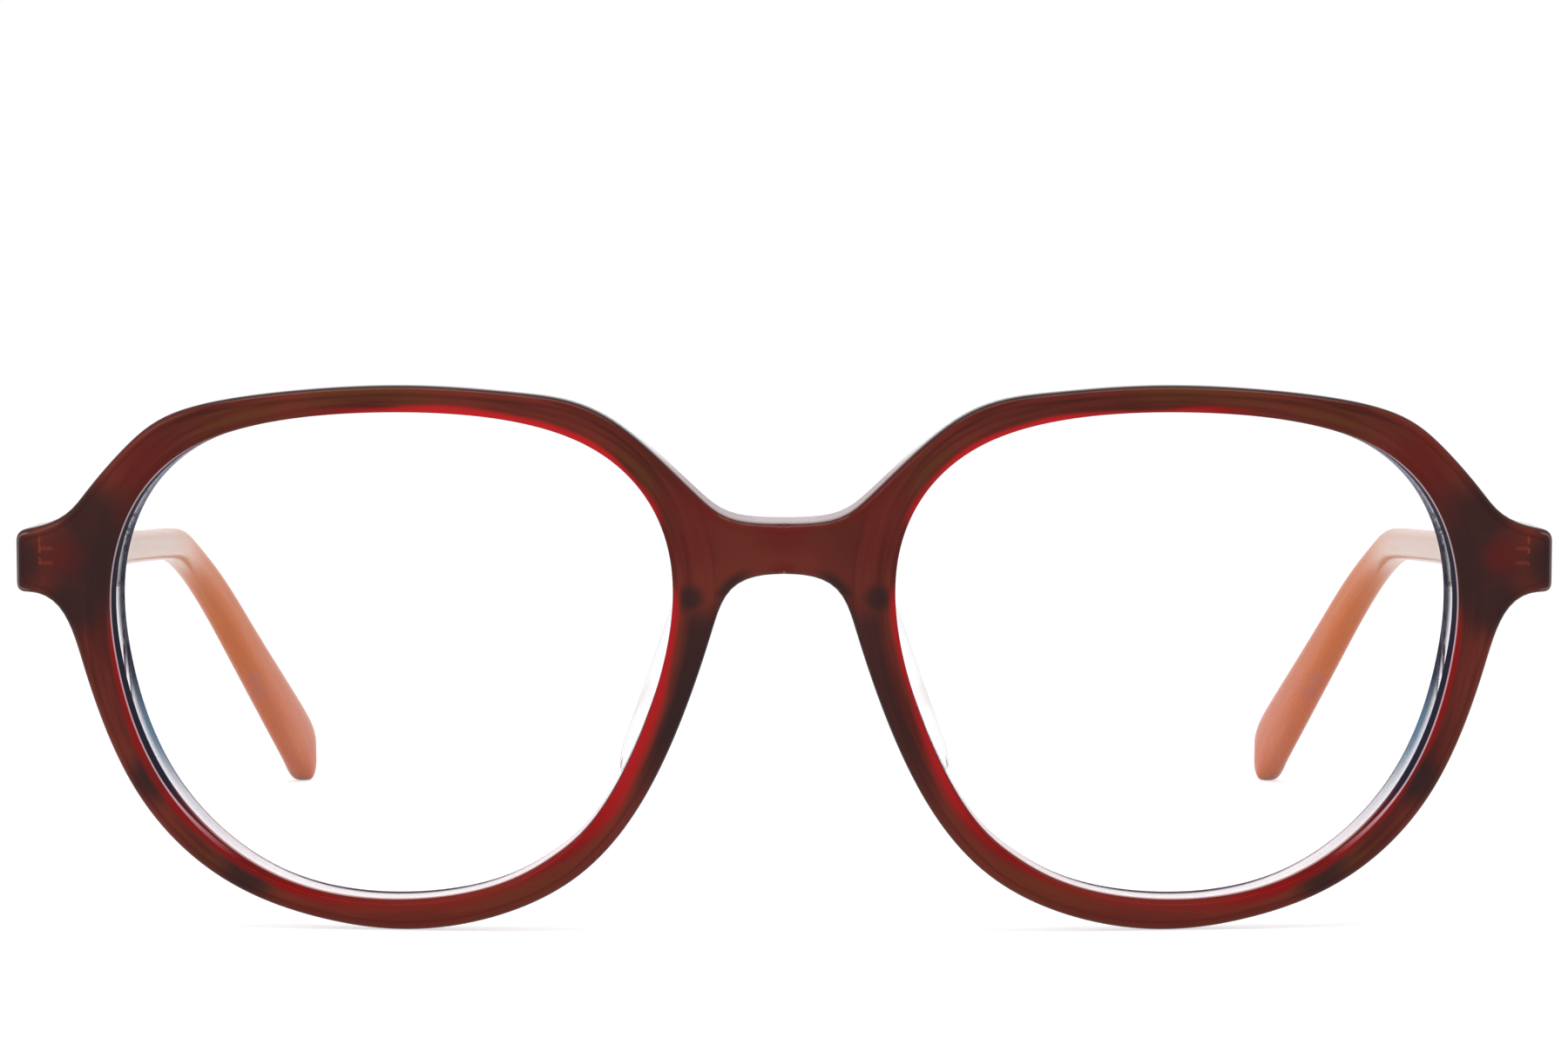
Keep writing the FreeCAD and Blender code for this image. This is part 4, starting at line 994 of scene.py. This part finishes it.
def plan_point(leg, share, aside):
    """A point of the temple seen from above, set off from its middle line."""
    middle = PIN_BACK + TEMPLE_THICK / 2
    bend = (ELBOW_BACK - WIRE_START) * math.tan(TOE)
    if leg == "butt":
        return middle + aside, BUTT_START + (WIRE_START - BUTT_START) * share
    if leg == "long":
        return middle + aside - bend * share, WIRE_START + (ELBOW_BACK - WIRE_START) * share
    inward = TIP_RUN * share * math.tan(TIP_INWARD) + TIP_HOOK * share ** 2
    return middle + aside - bend - inward, ELBOW_BACK + TIP_RUN * share


def temple_wall(side):
    """One long wall of the temple from above: side is 1 outside and -1 inside."""
    poles = [(PIN_BACK + TEMPLE_THICK * (side > 0), BUTT_START - 2)]
    for leg, share, taper in PLAN_SHARES:
        thick = TEMPLE_THICK + (TIP_THICK - TEMPLE_THICK) * taper
        poles.append(plan_point(leg, share, thick / 2 * side))
    return drawn_curve(poles, False)


def round_section(wide, high, softer):
    """The loop of a section with round corners, in shares of its width and height. It
    is nearly an ellipse where it is softest."""
    aside = min(SECTION_ROUNDING, wide * 0.45, high * 0.45)
    rounding = aside + (high * 0.4 - aside) * softer
    aside += (wide * 0.46 - aside) * softer
    loop = []
    for corner in range(4):
        right = corner in (0, 3)
        upper = corner < 2
        middle = (wide - aside if right else aside,
                  rounding if upper else high - rounding)
        for step in range(6):
            turn = math.pi / 2 * (corner + step / 5)
            loop.append((middle[0] + aside * math.cos(turn),
                         middle[1] - rounding * math.sin(turn)))
        if corner in (1, 3):
            far = high - rounding if corner == 1 else rounding
            across = 0 if corner == 1 else wide
            near = loop[-1][1]
            loop += [(across, near + (far - near) * share) for share in (0.25, 0.5, 0.75)]
    return np.array(loop) / [wide, high]


def temple_edges():
    """The top and the foot of the side outline, which meet low on the tip's end."""
    line = spaced(temple_side_line(SLOPE), 6000)
    meeting = leg_point("tip", MEETING_SHARE[0], PADDLE_HIGH * 0.5 * MEETING_SHARE[1], SLOPE)
    turn = int(np.argmin(np.hypot(*(line - meeting).T)))
    steps = np.linspace(0, 1, TEMPLE_COLUMNS)
    steps = (1 - (1 - steps) ** 1.5) * 0.998
    return [spaced(edge, 3000)[(steps * 3000).astype(int)]
            for edge in (line[:turn + 1], line[:turn - 1:-1])]


def temple_places():
    inner, outer = temple_wall(-1), temple_wall(1)
    table = []
    marks = {"along": [], "level": [], "aside": []}
    start_shares = [0.93, 0.97, 0.99]
    for number, (top, foot) in enumerate(zip(*temple_edges())):
        high = np.hypot(*(top - foot))
        shrink = 1.0
        if high < TIP_ROUND:
            shrink = math.sqrt(max(1 - (1 - high / TIP_ROUND) ** 2, 0.02))
        middle = (top + foot) / 2
        wide = np.interp(middle[0], outer[:, 1], outer[:, 0]) - np.interp(
            middle[0], inner[:, 1], inner[:, 0])
        softer = eased(middle[0], ELBOW_BACK - 14, ELBOW_BACK + 6)
        section = round_section(wide, high, softer)
        if number < len(start_shares):
            section = 0.5 + (section - 0.5) * start_shares[number]
        points = top + (foot - top) * section[:, 1:]
        inside = np.interp(points[:, 0], inner[:, 1], inner[:, 0]) + LEAF_PROUD
        outside = np.interp(points[:, 0], outer[:, 1], outer[:, 0])
        share = 0.5 + (section[:, 0] - 0.5) * shrink
        x = inside + (outside - inside) * share
        table.append(np.stack([x + pin.x, points[:, 0] + pin.y, points[:, 1] + pin.z], axis=1))
        marks["along"].append(points[:, 0] / (ELBOW_BACK + TIP_RUN))
        marks["level"].append(section[:, 1])
        marks["aside"].append(section[:, 0])
    return np.array(table), {name: np.array(values) for name, values in marks.items()}


def capped(piece):
    """Close the open ends of a piece and point every face outwards."""
    only(piece)
    bpy.ops.object.mode_set(mode="EDIT")
    bpy.ops.mesh.select_all(action="DESELECT")
    bpy.ops.mesh.select_mode(type="EDGE")
    bpy.ops.mesh.select_non_manifold(extend=False)
    bpy.ops.mesh.edge_face_add()
    bpy.ops.mesh.select_all(action="SELECT")
    bpy.ops.mesh.normals_make_consistent(inside=False)
    bpy.ops.object.mode_set(mode="OBJECT")


places, marks = temple_places()
arm = shaped_sheet("side_arm_right", places, closed_along=False, **marks)
capped(arm)
smooth(arm, 50)
arm_other = other_side(arm, "side_arm_left")
smooth(arm_other, 50)
for piece, side in ((arm, "right"), (arm_other, "left")):
    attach(piece, "temple_" + side)
    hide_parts("temple_" + side)

peach = Paint("peach_orange_acetate")
along = peach.mark("along")
level = peach.mark("level")
across, up = peach.front_place()
grain_way = peach.vector(along * 5, level * 1.6, peach.mark("aside") * 0.9)
streak = peach.noise(1.5, 3.0, 0.5, grain_way)
fine_streak = peach.noise(5.0, 2.0, 0.5, grain_way)
# Along the temple the acetate runs to orange. Its first half is pale pink-grey, partly its own
# peach and partly a painted reflection of the white surroundings, and the tip is pinker.
colour = peach.add("ShaderNodeValToRGB", {"stops": [
    (0.0, linear(190, 158, 146)), (0.55, linear(190, 152, 136)),
    (0.65, linear(190, 122, 82)), (0.73, linear(194, 98, 32)),
    (0.86, linear(190, 92, 32)), (0.93, linear(192, 96, 56)),
    (1.0, linear(196, 104, 74))]}, {"Fac": along + (streak - 0.5) * 0.16})["Color"]
colour = peach.blend(peach.rise(fine_streak, 0.5, 0.75) * 0.3, colour, linear(200, 128, 78))
# Painted shade: darker towards the underside of the temple.
colour = peach.blend(peach.rise(level, 0.7, 1.0) * 0.3, colour, linear(150, 84, 56))
wire_end_spots = [((59.6, 11.5), 1.3), ((60.1, 13.2), 1.2)]
wire_end = peach.spots(across, up, wire_end_spots) * peach.rise(along, 0.8, 0.85)
colour = peach.blend(wire_end * 0.3, colour, linear(148, 92, 100))
peach.surface(
    Base_Color=colour, Roughness=0.16 + fine_streak * 0.1, IOR=1.49,
    Specular_IOR_Level=0.2, Subsurface_Weight=0.2,
    Subsurface_Radius=(1.0, 0.55, 0.35), Subsurface_Scale=0.001,
    Normal=peach.relief(peach.noise(900), 0.03, 0.03))
peach.on(arm, arm_other)

# The setting: a plain white floor, soft even light from all round, two soft lamps,
# and the camera where the photographer stood.

clear_selection()
bpy.ops.mesh.primitive_plane_add(size=6, location=(0, 1.5, 0))
floor = bpy.context.object
floor.name = "floor"
paper = Paint("white_paper")
light_path = paper.add("ShaderNodeLightPath")
seen = light_path["Is Camera Ray"].most(light_path["Is Glossy Ray"]).most(
    light_path["Is Transmission Ray"])
card = paper.add("ShaderNodeBsdfDiffuse", None, {"Color": (0.86, 0.9, 0.9, 1)})["BSDF"]
white = paper.add("ShaderNodeEmission", None, {
    "Color": (1, 0.94, 0.945, 1), "Strength": 1.4})["Emission"]
paper.finish_with(paper.add("ShaderNodeMixShader", None, {0: seen * 0.5, 1: card, 2: white})[
    "Shader"])
paper.on(floor)

ROOM_STRENGTH = 0.8
ROOM_WHITE = (1, 1, 1, 1)

world = bpy.data.worlds.new("soft_room")
bpy.context.scene.world = world
world.use_nodes = True
room = world.node_tree
room.nodes.clear()
room_path = room.nodes.new("ShaderNodeLightPath")
room_seen = room.nodes.new("ShaderNodeMath")
room_seen.operation = "MAXIMUM"
room_clear = room.nodes.new("ShaderNodeMath")
room_clear.operation = "MAXIMUM"
room.links.new(room_path.outputs["Is Glossy Ray"], room_clear.inputs[0])
room.links.new(room_path.outputs["Is Transmission Ray"], room_clear.inputs[1])
room.links.new(room_path.outputs["Is Camera Ray"], room_seen.inputs[0])
room.links.new(room_clear.outputs[0], room_seen.inputs[1])
room_mix = room.nodes.new("ShaderNodeMixShader")
room_light = room.nodes.new("ShaderNodeBackground")
room_light.inputs["Strength"].default_value = ROOM_STRENGTH
room_white = room.nodes.new("ShaderNodeBackground")
room_out = room.nodes.new("ShaderNodeOutputWorld")
room.links.new(room_seen.outputs[0], room_mix.inputs[0])
room.links.new(room_light.outputs[0], room_mix.inputs[1])
room.links.new(room_white.outputs[0], room_mix.inputs[2])
room.links.new(room_mix.outputs[0], room_out.inputs["Surface"])
room_white.inputs["Color"].default_value = ROOM_WHITE
room_light.inputs["Color"].default_value = ROOM_WHITE


def soft_lamp(name, place, aim, size, power):
    data = bpy.data.lights.new(name, "AREA")
    data.shape = "RECTANGLE"
    data.size, data.size_y = size
    data.energy = power
    lamp = bpy.data.objects.new(name, data)
    bpy.context.collection.objects.link(lamp)
    lamp.location = place
    lamp.rotation_euler = (Vector(aim) - Vector(place)).to_track_quat("-Z", "Y").to_euler()


soft_lamp("lamp_above", (0, -0.15, 0.7), (0, 0, 0.03), (0.8, 0.3), 3.0)
soft_lamp("lamp_side", (-0.7, -0.5, 0.5), (0, 0, 0.03), (0.4, 0.4), 1.5)

CAMERA_BACK = 507.19
CAMERA_HIGH = 98.61
CAMERA_ASIDE = 0.51
CAMERA_PITCH = -0.16694
CAMERA_YAW = 0.001
LENS_PIXELS = 6550
IMAGE_PIXELS = 1800

data = bpy.data.cameras.new("camera")
data.sensor_width = 36
data.lens = LENS_PIXELS * data.sensor_width / IMAGE_PIXELS
camera = bpy.data.objects.new("camera", data)
bpy.context.collection.objects.link(camera)
lean = (math.cos(FRONT_TILT), math.sin(FRONT_TILT))
camera.location = Vector((
    CAMERA_ASIDE, FRONT_BACK - CAMERA_BACK * lean[0] - CAMERA_HIGH * lean[1],
    FRONT_LIFT - CAMERA_BACK * lean[1] + CAMERA_HIGH * lean[0])) * MM
camera.rotation_euler = (math.pi / 2 + CAMERA_PITCH + FRONT_TILT, 0, CAMERA_YAW)
bpy.context.scene.camera = camera
bpy.context.scene.view_settings.view_transform = "Standard"
